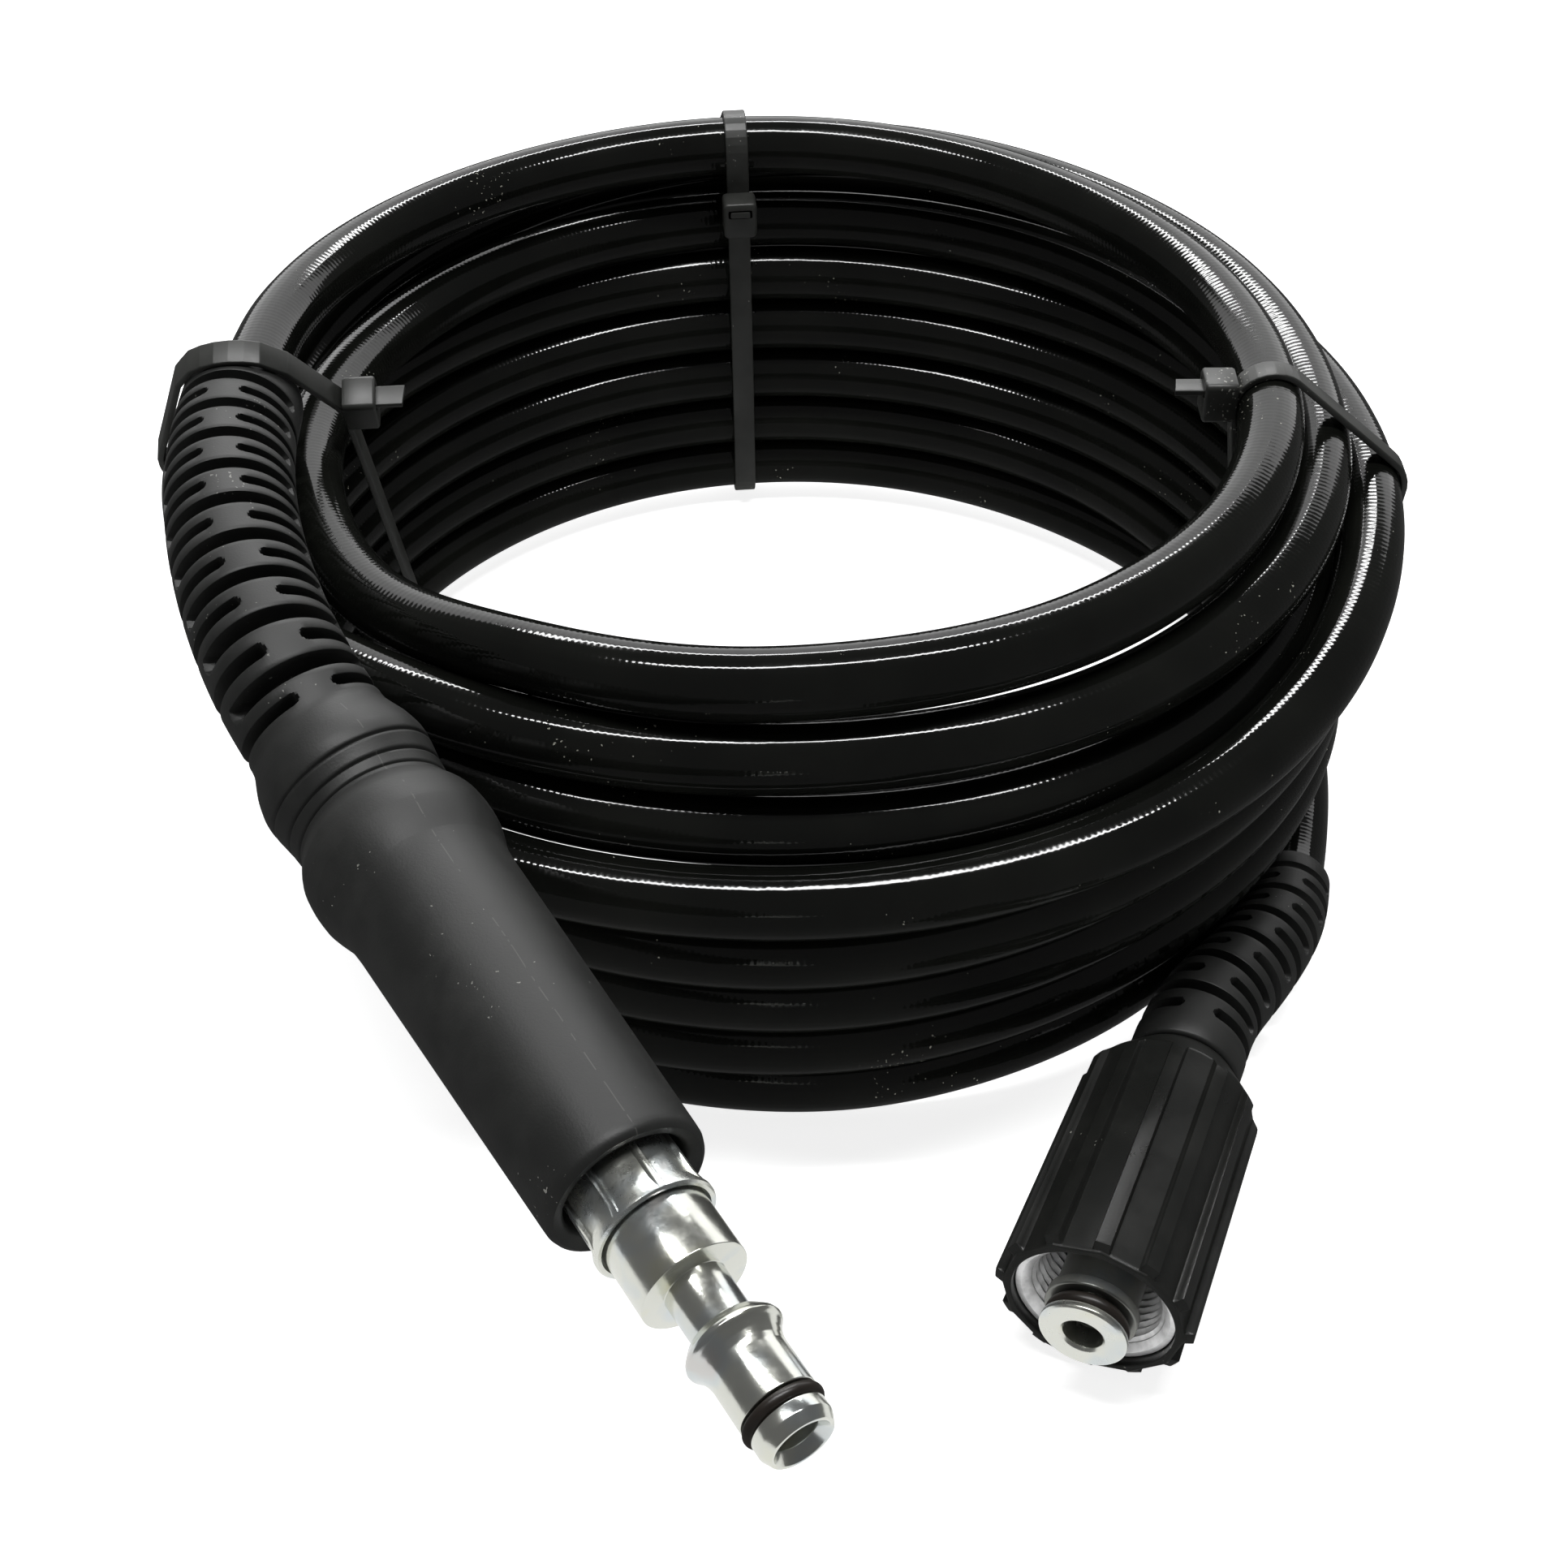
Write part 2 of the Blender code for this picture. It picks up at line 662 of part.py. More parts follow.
def build_plug(parts, material, frame):
    """The turned steel plug that snaps into the gun."""
    groove = 0.5 * PLUG_RING_D - PLUG_RING_WIRE - GAP
    half_groove = 0.5 * PLUG_RING_WIRE + GAP
    start = FERRULE_OUT + GAP
    flare = 0.5 * PLUG_FLARE_D
    barrel = 0.5 * PLUG_BARREL_D
    outline = [
        (0.5 * PLUG_BORE_D, PLUG_LENGTH - PLUG_TIP_BEVEL),
        (0.5 * PLUG_END_D - PLUG_TIP_RIM, PLUG_LENGTH),
        (0.5 * PLUG_END_D, PLUG_LENGTH),
        (0.5 * PLUG_TIP_D, PLUG_LENGTH - PLUG_TIP_BEVEL),
        (0.5 * PLUG_TIP_D, PLUG_RING_AT + half_groove),
        (groove, PLUG_RING_AT + half_groove),
        (groove, PLUG_RING_AT - half_groove),
        (0.5 * PLUG_SHAFT_D, PLUG_RING_AT - half_groove),
        (0.5 * PLUG_SHAFT_D, PLUG_SHAFT_START),
        (flare - PLUG_FLARE_FRONT[0], PLUG_FLARE_AT + PLUG_FLARE_FRONT[1]),
        (flare, PLUG_FLARE_AT),
        (flare - PLUG_FLARE_REAR[0], PLUG_FLARE_AT - PLUG_FLARE_REAR[1]),
        (0.5 * PLUG_NECK_D + PLUG_FLARE_FOOT, PLUG_FLARE_START),
        (0.5 * PLUG_NECK_D, PLUG_FLARE_START),
        (0.5 * PLUG_NECK_D, PLUG_BARREL_END),
        (barrel, PLUG_BARREL_END),
        (barrel, start + PLUG_BARREL_BEVEL[1]),
        (barrel - PLUG_BARREL_BEVEL[0], start),
        (0.5 * PLUG_BORE_D, start),
    ]
    return turned("gun_plug", outline, TURNED_STEPS, parts, material, frame)


def build_ring(name, outside, wire, height, parts, material, frame, steps=TURNED_STEPS):
    """A rubber O-ring, turned from a round section."""
    center = (0.5 * outside - 0.5 * wire, height)
    outline = arc(center, 0.5 * wire, 90.0, -270.0, RING_SIDES + 1)[:-1]
    return turned(name, outline, steps, parts, material, frame)


def nut_outline():
    """End view of the ribbed nut: shallow ribs with flat tops, one of them at the very bottom."""
    points = []
    pitch = 2.0 * math.pi / NUT_RIBS
    top = 0.5 * NUT_RIB_SHARE * pitch
    flank = NUT_FLANK_SHARE * pitch
    for i in range(NUT_RIBS):
        middle = i * pitch
        for angle, radius in (
            (middle - top - flank, 0.5 * NUT_BODY_D),
            (middle - top, 0.5 * NUT_RIB_D),
            (middle + top, 0.5 * NUT_RIB_D),
            (middle + top + flank, 0.5 * NUT_BODY_D),
        ):
            points.append((radius * math.cos(angle), radius * math.sin(angle)))
    return points


def flat_curve(name, loops, thickness, collection, matrix):
    """A flat outline, with holes, given a thickness about its own plane."""
    curve = bpy.data.curves.new(name, "CURVE")
    curve.dimensions = "2D"
    curve.fill_mode = "BOTH"
    curve.extrude = 0.5 * thickness
    for loop in loops:
        spline = curve.splines.new("POLY")
        spline.points.add(len(loop) - 1)
        spline.use_cyclic_u = True
        for place, (x, y) in zip(spline.points, loop):
            place.co = (x, y, 0.0, 1.0)
    return add_object(name, curve, collection, None, matrix)


def build_nut(parts, cutters, material, frame):
    """The ribbed plastic nut. Its origin lies on its turning axis."""
    middle = frame @ Matrix.Translation((0.0, 0.0, -0.5 * NUT_LENGTH))
    ribs = flat_curve("coupling_nut", [nut_outline()], NUT_LENGTH, parts, middle)
    nut = curve_to_mesh(ribs, parts)
    rear = -0.5 * NUT_LENGTH
    front = 0.5 * NUT_LENGTH
    seat = 0.5 * INSERT_D + GAP
    rim = 0.5 * NUT_REAR_RIM_D
    shape = turned("nut_shape", [
        (0.5 * NUT_BODY_D, front + OVERSHOOT),
        (0.5 * NUT_RIB_D + GAP, front - NUT_FRONT_BEVEL),
        (0.5 * NUT_RIB_D - NUT_DRAFT, rear + NUT_SHOULDER),
        (rim, rear + NUT_REAR_BEVEL[1]),
        (rim - NUT_REAR_BEVEL[0], rear - OVERSHOOT),
        (0.5 * NUT_REAR_BORE_D, rear - OVERSHOOT),
        (0.5 * NUT_REAR_BORE_D, rear + NUT_WEB),
        (seat, rear + NUT_WEB),
        (seat, front + OVERSHOOT),
    ], TURNED_STEPS * 2, cutters, None, middle)
    make_cutter(shape)
    boolean(nut, shape, "INTERSECT")
    apply_modifiers(nut)
    nut.data.materials.clear()
    nut.data.materials.append(material)
    smooth_shading(nut, 25.0)
    return nut


def build_insert(parts, material, frame):
    """The metal thread pressed into the nut."""
    front = -INSERT_RECESS
    back = front - INSERT_LENGTH
    outline = [
        (0.5 * INSERT_BORE_D + INSERT_CHAMFER, front),
        (0.5 * INSERT_D, front),
        (0.5 * INSERT_D, back),
        (0.5 * INSERT_BORE_D, back),
        (0.5 * INSERT_BORE_D, front - INSERT_CHAMFER),
    ]
    return turned("nut_thread_insert", outline, TURNED_STEPS * 2, parts, material, frame)


def build_stem(parts, material, frame):
    """The steel stem that the nut turns on, from its sealing disc to the flange in the protector."""
    front = STEM_OUT
    disc_back = front - STEM_DISC
    groove_back = disc_back - STEM_GROOVE
    collar_back = GAP - NUT_LENGTH + NUT_WEB
    rear = -NUT_LENGTH
    groove = 0.5 * STEM_RING_D - STEM_RING_WIRE - GAP
    outline = [
        (0.5 * STEM_BORE_D + STEM_CHAMFER, front),
        (0.5 * STEM_D - STEM_EDGE, front),
        (0.5 * STEM_D, front - STEM_EDGE),
        (0.5 * STEM_D, disc_back),
        (groove, disc_back),
        (groove, groove_back),
        (0.5 * STEM_COLLAR_D, groove_back),
        (0.5 * STEM_COLLAR_D, collar_back),
        (0.5 * STEM_SHANK_D, collar_back),
        (0.5 * STEM_SHANK_D, rear - 0.5 * GAP),
        (0.5 * STEM_BORE_D, rear - 0.5 * GAP),
        (0.5 * STEM_BORE_D, front - STEM_CHAMFER),
    ]
    return turned("coupling_stem", outline, TURNED_STEPS, parts, material, frame)


def support_outline(points, clear, sides):
    """Taut band round points: the polygon of its tangent lines, kept a distance off."""
    lines = []
    for i in range(sides):
        angle = 2.0 * math.pi * i / sides
        nx, nz = math.cos(angle), math.sin(angle)
        lines.append((nx, nz, max(x * nx + z * nz for x, z in points) + clear))
    loop = []
    for i in range(sides):
        ax, az, ah = lines[i - 1]
        bx, bz, bh = lines[i]
        det = ax * bz - az * bx
        loop.append(((ah * bz - az * bh) / det, (ax * bh - ah * bx) / det))
    return loop


def inner_side(loop, height):
    """Smallest radius at which a closed band crosses a height."""
    radii = []
    for (r0, z0), (r1, z1) in zip(loop, loop[1:] + loop[:1]):
        if min(z0, z1) <= height <= max(z0, z1) and z0 != z1:
            radii.append(r0 + (r1 - r0) * (height - z0) / (z1 - z0))
    return min(radii)


def leaning_place(height, start, lean, edge):
    """Where one edge of a leaning strap meets a height: its place aside, and up its plane."""
    up = (height - start + edge * math.sin(lean)) / math.cos(lean)
    return up * math.sin(lean) + edge * math.cos(lean), up


def bundle_points(angle, lean, start, extras):
    """Outside of the coil in a tie's plane, which leans from a starting height.

    Each point is its distance from the coil's axis and its distance up the plane. The extras
    are round things in the tie, as their center's radius and height, and their own radius.
    """
    back = CROWN_BACK * math.sin(angle)
    side = CROWN_BACK * math.cos(angle)
    points = []
    for edge in (-0.5 * TIE_WIDTH, 0.5 * TIE_WIDTH):
        for r, z in stack_outline():
            aside, up = leaning_place(z, start, lean, edge)
            points.append((math.sqrt(r * r - aside * aside), up))
        for r, z in crown_outline():
            aside, up = leaning_place(z, start, lean, edge)
            points.append((back + math.sqrt(r * r - (aside - side) ** 2), up))
        for center, radius in extras:
            for r, z in arc(center, radius, 0.0, 330.0, 12):
                points.append((r, leaning_place(z, start, lean, edge)[1]))
    return points


def build_tie(side, head_height, start, extras, parts, cutters, material):
    """A cable tie pulled tight round the coil: its strap, its head and the strap's cut end."""
    name = "cable_tie_" + side
    angle = math.radians(TIE_ANGLES_DEG[side])
    lean = math.radians(TIE_LEANS_DEG[side])
    outward = Vector((math.cos(angle), math.sin(angle), 0.0))
    level = Vector((-math.sin(angle), math.cos(angle), 0.0))
    upward = Vector((0.0, 0.0, math.cos(lean))) + level * math.sin(lean)
    matrix = Matrix((outward, upward, -level)).transposed().to_4x4()
    matrix.translation = Vector((0.0, 0.0, start))
    points = bundle_points(angle, lean, start, extras)
    inner = support_outline(points, TIE_CLEAR, TIE_SIDES)
    outer = support_outline(points, TIE_CLEAR + TIE_THICK, TIE_SIDES)
    strap = curve_to_mesh(flat_curve(name, [outer, inner], TIE_WIDTH, parts, None), parts)
    middle = (head_height - start) / math.cos(lean)
    inside = inner_side(outer, middle) + 0.4 * TIE_THICK
    work = bmesh.new()
    center = Matrix.Translation((inside - 0.5 * TIE_HEAD[0], middle, 0.0))
    size = Matrix.Diagonal((TIE_HEAD[0], TIE_HEAD[2], TIE_HEAD[1], 1.0))
    bmesh.ops.create_cube(work, size=1.0, matrix=center @ size)
    head = add_cutter(name + "_head", work, cutters)
    reach = inside - TIE_HEAD[0] - 0.5 * TIE_TAIL[0]
    work = bmesh.new()
    center = Matrix.Translation((reach + GAP, middle + 0.2 * TIE_HEAD[2], 0.0))
    size = Matrix.Diagonal((TIE_TAIL[0], TIE_TAIL[1], TIE_TAIL[2], 1.0))
    bmesh.ops.create_cube(work, size=1.0, matrix=center @ size)
    tail = add_cutter(name + "_tail", work, cutters)
    boolean(strap, head, "UNION")
    boolean(strap, tail, "UNION").name = "tail"
    apply_modifiers(strap)
    for piece in (strap, head, tail):
        piece.data.transform(matrix)
    strap.data.materials.clear()
    strap.data.materials.append(material)
    smooth_shading(strap, 30.0)
    return strap


def crossing(points, angle_deg):
    """Where a line crosses the upright plane at one angle, as radius and height."""
    target = math.radians(angle_deg)
    best = min(points, key=lambda p: abs(math.remainder(math.atan2(p.y, p.x) - target, 2.0 * math.pi)))
    return (math.hypot(best.x, best.y), best.z)


def build_ties(parts, cutters, material, sleeve, tail):
    top = crown_turns()[3][1]
    middle = crown_turns()[1][1]
    rest = (crossing(sleeve, TIE_ANGLES_DEG["left"]), 0.5 * SLEEVE_REAR_D + GAP)
    side = (crossing(tail, TIE_ANGLES_DEG["right"]), 0.5 * HOSE_D)
    build_tie("back", middle, middle, [], parts, cutters, material)
    build_tie("left", top, rest[0][1] + rest[1], [rest], parts, cutters, material)
    build_tie("right", top, top, [side], parts, cutters, material)


def center_on_floor(parts):
    """Move everything so that the middle of the object's box, seen from above, is at the origin."""
    bpy.context.view_layer.update()
    graph = bpy.context.evaluated_depsgraph_get()
    xs = []
    ys = []
    for thing in parts.objects:
        evaluated = thing.evaluated_get(graph)
        mesh = evaluated.to_mesh()
        for vertex in mesh.vertices:
            place = evaluated.matrix_world @ vertex.co
            xs.append(place.x)
            ys.append(place.y)
        evaluated.to_mesh_clear()
    shift = Vector((-0.5 * (min(xs) + max(xs)), -0.5 * (min(ys) + max(ys)), 0.0))
    for thing in bpy.data.objects:
        thing.location = thing.location + shift


def main():
    remove_all()
    parts = new_collection("pressure_washer_hose")
    cutters = new_collection("cutters")
    hose = new_material("hose_black_pvc", (0.012, 0.013, 0.013), 0.22, 0.0)
    rubber = new_material("rubber_matte", (0.03, 0.03, 0.032), 0.6, 0.0)
    plastic = new_material("nut_black_plastic", (0.015, 0.015, 0.016), 0.35, 0.0)
    nylon = new_material("tie_black_nylon", (0.02, 0.02, 0.02), 0.45, 0.0)
    steel = new_material("zinc_plated_steel", (0.72, 0.73, 0.70), 0.22, 1.0)
    cast = new_material("thread_zinc", (0.78, 0.78, 0.78), 0.4, 1.0)

    sleeve = sleeve_points()
    tail = tail_points()
    mouth = mouth_frame(sleeve)
    nut = nut_frame()

    build_stack(parts, hose)
    build_crown(parts, cutters, hose, sleeve)
    build_tubes(parts, hose, sleeve, tail)
    build_sleeve(parts, cutters, rubber, sleeve)
    build_protector(parts, cutters, rubber, tail)
    build_ferrule(parts, cutters, steel, mouth)
    build_plug(parts, steel, mouth)
    build_ring("plug_o_ring", PLUG_RING_D, PLUG_RING_WIRE, PLUG_RING_AT, parts, rubber, mouth)
    build_nut(parts, cutters, plastic, nut)
    build_insert(parts, cast, nut)
    build_stem(parts, steel, nut)
    ring_at = STEM_OUT - STEM_DISC - 0.5 * STEM_GROOVE
    build_ring("stem_o_ring", STEM_RING_D, STEM_RING_WIRE, ring_at, parts, rubber, nut)
    build_ties(parts, cutters, nylon, sleeve, tail)
    center_on_floor(parts)


main()
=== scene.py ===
import json
import math

import bpy
import numpy as np
from mathutils import Matrix, Vector


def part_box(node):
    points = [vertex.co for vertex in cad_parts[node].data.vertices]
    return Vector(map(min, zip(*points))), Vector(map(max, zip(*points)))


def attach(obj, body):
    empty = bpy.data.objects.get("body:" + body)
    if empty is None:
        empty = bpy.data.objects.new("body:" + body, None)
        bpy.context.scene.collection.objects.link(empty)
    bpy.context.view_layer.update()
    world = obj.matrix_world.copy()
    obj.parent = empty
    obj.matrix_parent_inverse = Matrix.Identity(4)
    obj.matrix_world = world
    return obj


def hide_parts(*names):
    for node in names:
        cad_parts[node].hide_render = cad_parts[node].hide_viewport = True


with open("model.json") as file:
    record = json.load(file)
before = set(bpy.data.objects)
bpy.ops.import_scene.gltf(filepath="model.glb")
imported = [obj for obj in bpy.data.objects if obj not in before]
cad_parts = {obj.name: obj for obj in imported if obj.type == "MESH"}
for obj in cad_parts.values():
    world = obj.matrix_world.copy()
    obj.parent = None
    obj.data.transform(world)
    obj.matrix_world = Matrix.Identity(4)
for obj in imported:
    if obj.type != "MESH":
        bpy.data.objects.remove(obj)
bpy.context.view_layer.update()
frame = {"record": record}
print("frame loaded")

# Pressure washer hose: one coiled hose with a gun plug in a rubber grip at one end and a
# screw coupling at the other, held by three cable ties. Sizes are in metres, apart from the
# turned profiles of the plug and the coupling, which are in millimetres.

hose = {
    "diameter": 0.012,
    "sides": 28,
    "step": 0.0022,         # between rings of the mesh
    "pointsPerTurn": 96,
    "tailPoints": 40,
    "spacing": 1.015,       # least distance between passes, in diameters
    "room": (0.92, 0.5, 0.62),    # half the room taken by the grip, the hose and the protector, in diameters
    "rounds": 110,          # of pushing passes apart
    "pushShare": 0.75,      # of each push that is made at once
    "homeShare": 0.01,      # of the way back that each round takes
    "pushSpread": 13,       # points of the route that a push is spread over
    "ownStretch": 14,       # points so near along the route don't push each other
    "smoothings": 4,
}

# Where the hose runs: angle round the coil in degrees, then radius and height of its center in
# hose diameters. It starts behind the grip, and the crown's turns are listed one by one.
hosePasses = [
    (172, 8.12, 7.38), (150, 8.35, 7.25), (118, 8.45, 7.15), (84, 8.50, 7.12), (40, 8.05, 7.05),
    (-15, 7.5, 7.0), (-55, 7.1, 7.1), (-92, 7.0, 7.2), (-125, 6.95, 6.75), (-147, 7.0, 6.3),
    (-180, 7.3, 6.1), (-225, 8.1, 5.75), (-276, 8.77, 5.5), (-325, 8.65, 5.25),
    (-372, 8.4, 5.0), (-415, 8.0, 5.07), (-452, 7.63, 5.16), (-495, 7.86, 5.22), (-540, 8.3, 5.5),
    (-590, 9.10, 6.10), (-636, 9.48, 6.58), (-685, 9.20, 6.42), (-729, 8.40, 6.15),
    (-772, 7.68, 6.15), (-812, 7.33, 6.19), (-840, 7.45, 6.07), (-870, 8.1, 5.75),
    (-900, 9.0, 5.8), (-945, 9.6, 5.6), (-996, 9.85, 5.45), (-1042, 9.65, 5.5),
    (-1085, 9.35, 5.5), (-1130, 8.88, 5.00), (-1172, 8.48, 4.63), (-1215, 8.50, 4.60), (-1260, 8.5, 4.5),
    (-1356, 8.48, 4.5), (-1455, 8.88, 4.3),
]

# The stack's next turns repeat at the same angles, each one diameter lower and a little narrower.
stack = {
    "angles": (-1532, -1620, -1716, -1815),
    "heights": (3.5, 3.5, 3.5, 3.3),
    "radii": [(8.37, 8.36, 8.36, 8.80), (8.25, 8.25, 8.26, 8.70), (8.17, 8.20, 8.25, 8.60)],
    # the lowest turn, which opens toward the nut
    "last": [(-2612, 8.04, 0.5), (-2700, 8.10, 0.5), (-2796, 8.25, 0.5), (-2838, 8.45, 0.5),
             (-2868, 8.70, 0.5), (-2888, 8.85, 0.5)],
}
for level, radii in enumerate(stack["radii"]):
    for angle, height, radius in zip(stack["angles"], stack["heights"], radii):
        hosePasses.append((angle - 360 * level, radius, round(height - level, 1)))
hosePasses += stack["last"]

# The hose's end behind the nut, from the coil's center.
tailRoute = [(0.0991, -0.0414, 0.0070), (0.0946, -0.0546, 0.0085), (0.0902, -0.0658, 0.0110),
             (0.0798, -0.0809, 0.0141)]

# The grip's bend, from the coil's center and from its rear end. Its front is straight.
gripRoute = [
    (-0.0971, 0.0013, 0.0905), (-0.0973, -0.0137, 0.0906), (-0.0960, -0.0286, 0.0903),
    (-0.0933, -0.0433, 0.0893), (-0.0892, -0.0576, 0.0872), (-0.0836, -0.0712, 0.0842),
    (-0.0763, -0.0831, 0.0789), (-0.0686, -0.0951, 0.0743),
]


def smoothStep(low, high, x):
    # zero below low, one above high, and a soft ramp between
    t = np.clip((x - low) / (high - low), 0.0, 1.0)
    return t * t * (3.0 - 2.0 * t)


def hermite(known, values, wanted):
    # cubic through known values, with slopes taken from their neighbours
    known, values, wanted = np.asarray(known, float), np.asarray(values, float), np.asarray(wanted, float)
    slopes = np.gradient(values, known, axis=0)
    k = np.clip(np.searchsorted(known, wanted) - 1, 0, len(known) - 2)
    width = known[k + 1] - known[k]
    t = (wanted - known[k]) / width
    if values.ndim == 2:
        t, width = t[:, None], width[:, None]
    a, b = values[k], values[k + 1]
    return ((2 * t**3 - 3 * t**2 + 1) * a + (t**3 - 2 * t**2 + t) * width * slopes[k]
            + (3 * t**2 - 2 * t**3) * b + (t**3 - t**2) * width * slopes[k + 1])


def lengthsOf(points):
    # distance along a line of points, from its start
    return np.concatenate([[0.0], np.cumsum(np.linalg.norm(np.diff(points, axis=0), axis=1))])


def alongLine(points, wanted):
    # smooth places at wanted distances along a line of points
    return hermite(lengthsOf(points), points, wanted)


def framesAlong(points):
    # direction, level side and upward side at each point of a line
    ahead = np.gradient(points, axis=0)
    ahead /= np.linalg.norm(ahead, axis=1)[:, None]
    side = np.cross(ahead, (0.0, 0.0, 1.0))
    side /= np.linalg.norm(side, axis=1)[:, None]
    return ahead, side, np.cross(side, ahead)


def evenTurn(count):
    # even angles round a full turn
    return np.linspace(0.0, 2.0 * math.pi, count, endpoint=False)


def patchFaces(grid, wrapRows, turn, along):
    # quads between the points of a grid, with their UV; columns always close, and rows close
    # or end in flat caps. The UV runs once round, with its seam at half a turn.
    rows, cols = grid.shape[:2]
    i, j = np.meshgrid(np.arange(rows if wrapRows else rows - 1), np.arange(cols), indexing="ij")
    i, j = i.ravel(), j.ravel()
    iNext, jNext = (i + 1) % rows, (j + 1) % cols
    quads = np.stack([i * cols + j, i * cols + jNext, iNext * cols + jNext, iNext * cols + j], axis=1)
    caps = [] if wrapRows else [np.arange(cols)[::-1], np.arange((rows - 1) * cols, rows * cols)]
    start = np.remainder(turn / (2.0 * math.pi) + 0.5, 1.0)
    width = np.diff(np.append(turn, 2.0 * math.pi)) / (2.0 * math.pi)
    along = np.append(along, along[-1])
    u = np.stack([start[j], start[j] + width[j], start[j] + width[j], start[j]], axis=1)
    v = np.stack([along[i], along[i], along[i + 1], along[i + 1]], axis=1)
    spots = grid.reshape(-1, 3)
    a, b, c, e = (spots[quads[:, k]] for k in range(4))
    if wrapRows:
        inward = np.sum(a * np.cross(b, c)) + np.sum(a * np.cross(c, e)) < 0
    else:
        inward = np.sum(np.cross(c - a, e - b) * (a - grid.mean(axis=1)[i])) < 0
    if inward:
        quads, u, v = quads[:, ::-1], u[:, ::-1], v[:, ::-1]
        caps = [cap[::-1] for cap in caps]
    corners = np.stack([u.ravel(), v.ravel()], axis=1)
    capCorners = np.zeros((sum(len(cap) for cap in caps), 2))
    return spots, quads.tolist() + [cap.tolist() for cap in caps], np.vstack([corners, capCorners])


def addPiece(name, patches, material, sharp=38.0):
    # one object from closed patches, each a grid of points with what it says about itself
    spots, faces, corners, slots = [], [], [], []
    extra = []
    for patch in patches:
        grid = patch["grid"]
        found = patchFaces(grid, patch.get("wrapRows", True), patch.get("turn", evenTurn(grid.shape[1])),
                           patch.get("along", np.linspace(0.0, 1.0, grid.shape[0])))
        before = sum(len(part) for part in spots)
        spots.append(found[0])
        faces += [[before + k for k in face] for face in found[1]]
        corners.append(found[2])
        other = patch.get("material")
        if other is not None and other not in extra:
            extra.append(other)
        slots += [0 if other is None else 1 + extra.index(other)] * len(found[1])
    mesh = bpy.data.meshes.new(name)
    mesh.from_pydata(np.vstack(spots).tolist(), [], faces)
    mesh.uv_layers.new(name="surface").data.foreach_set("uv", np.vstack(corners).ravel())
    for one in [material, *extra]:
        mesh.materials.append(one)
    mesh.polygons.foreach_set("material_index", slots)
    mesh.shade_smooth()
    mesh.set_sharp_from_angle(angle=math.radians(sharp))
    piece = bpy.data.objects.new(name, mesh)
    bpy.context.scene.collection.objects.link(piece)
    return piece


def settle(piece, body, slot, *nodes):
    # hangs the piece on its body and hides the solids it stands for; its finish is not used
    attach(piece, body)
    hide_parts(*nodes)


def turnGrid(profile, columns, place):
    # a closed profile of (radius, height) turned about a local axis; radius may vary with angle
    turn = np.asarray(columns)
    radius = np.stack([np.broadcast_to(r, turn.shape) for r, _ in profile])
    height = np.array([z for _, z in profile])[:, None] * np.ones_like(turn)
    local = np.stack([radius * np.cos(turn), radius * np.sin(turn), height], axis=-1)
    return local @ np.array(place.to_3x3()).T + np.array(place.translation)


def rounded(profile, size, steps=3):
    # the corners of a closed profile cut by small curves, smaller where there is no room
    points = np.array(profile, float)
    back, ahead = np.roll(points, 1, axis=0) - points, np.roll(points, -1, axis=0) - points
    backLength, aheadLength = np.linalg.norm(back, axis=1), np.linalg.norm(ahead, axis=1)
    cut = np.minimum(size, 0.45 * np.minimum(backLength, aheadLength))
    start = points + back * (cut / backLength)[:, None]
    end = points + ahead * (cut / aheadLength)[:, None]
    t = np.linspace(0.0, 1.0, steps + 1)[None, :, None]
    curve = (1 - t)**2 * start[:, None] + 2 * t * (1 - t) * points[:, None] + t**2 * end[:, None]
    return [tuple(point) for point in curve.reshape(-1, 2)]


def placeOn(origin, direction):
    # local Z along a direction, local Y level, and so local X downward
    zAxis = Vector(direction).normalized()
    yAxis = Vector((0.0, 0.0, 1.0)).cross(zAxis).normalized()
    matrix = Matrix((yAxis.cross(zAxis), yAxis, zAxis)).transposed().to_4x4()
    matrix.translation = Vector(origin)
    return matrix


def mountOf(name):
    return next(m for m in frame["record"]["mounts"] if m["name"] == name)


stackLow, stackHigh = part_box("hose_coil_stack")
coilCenter = np.array([0.5 * (stackLow[0] + stackHigh[0]), 0.5 * (stackLow[1] + stackHigh[1]), 0.0])
baseHeight = stackLow[2]

plugMount = mountOf("plug_shoulder")
plugAxis = Vector(plugMount["axis"])
nutJoint = frame["record"]["behaviour"]["joints"][0]
nutAxis = Vector(nutJoint["axis"])

studio = {
    "floor": 3.0,                               # half its side
    "floorHeight": -0.0002,                     # a hair under what rests on it
    "floorColor": 0.80, "floorGlow": 0.82,
    "cameraFrom": (-0.0203, -0.3466, 0.3056),   # from the coil's center, above its underside
    "yaw": 3.458, "pitch": 42.38, "roll": -0.543,     # in degrees
    "lens": 50.385,                             # in millimetres, for a sensor 36 mm wide
    "worldStrength": 0.09,
    # place, target, size and power in watts of each soft light
    "overhead": ((0.0, 0.02, 1.30), (0.0, 0.0, 0.0), (1.15, 0.12), 14.0),
    "highBack": ((0.0, 1.05, 1.02), (0.0, 0.0, 0.05), (1.05, 0.12), 8.5),
    "backPanel": ((0.15, 1.60, 0.62), (0.0, 0.0, 0.05), (3.4, 1.15), 17.0),
    "floorBounce": ((0.0, -0.1, 0.0), (0.0, -0.1, 1.0), (1.0, 1.0), 2.6),
}


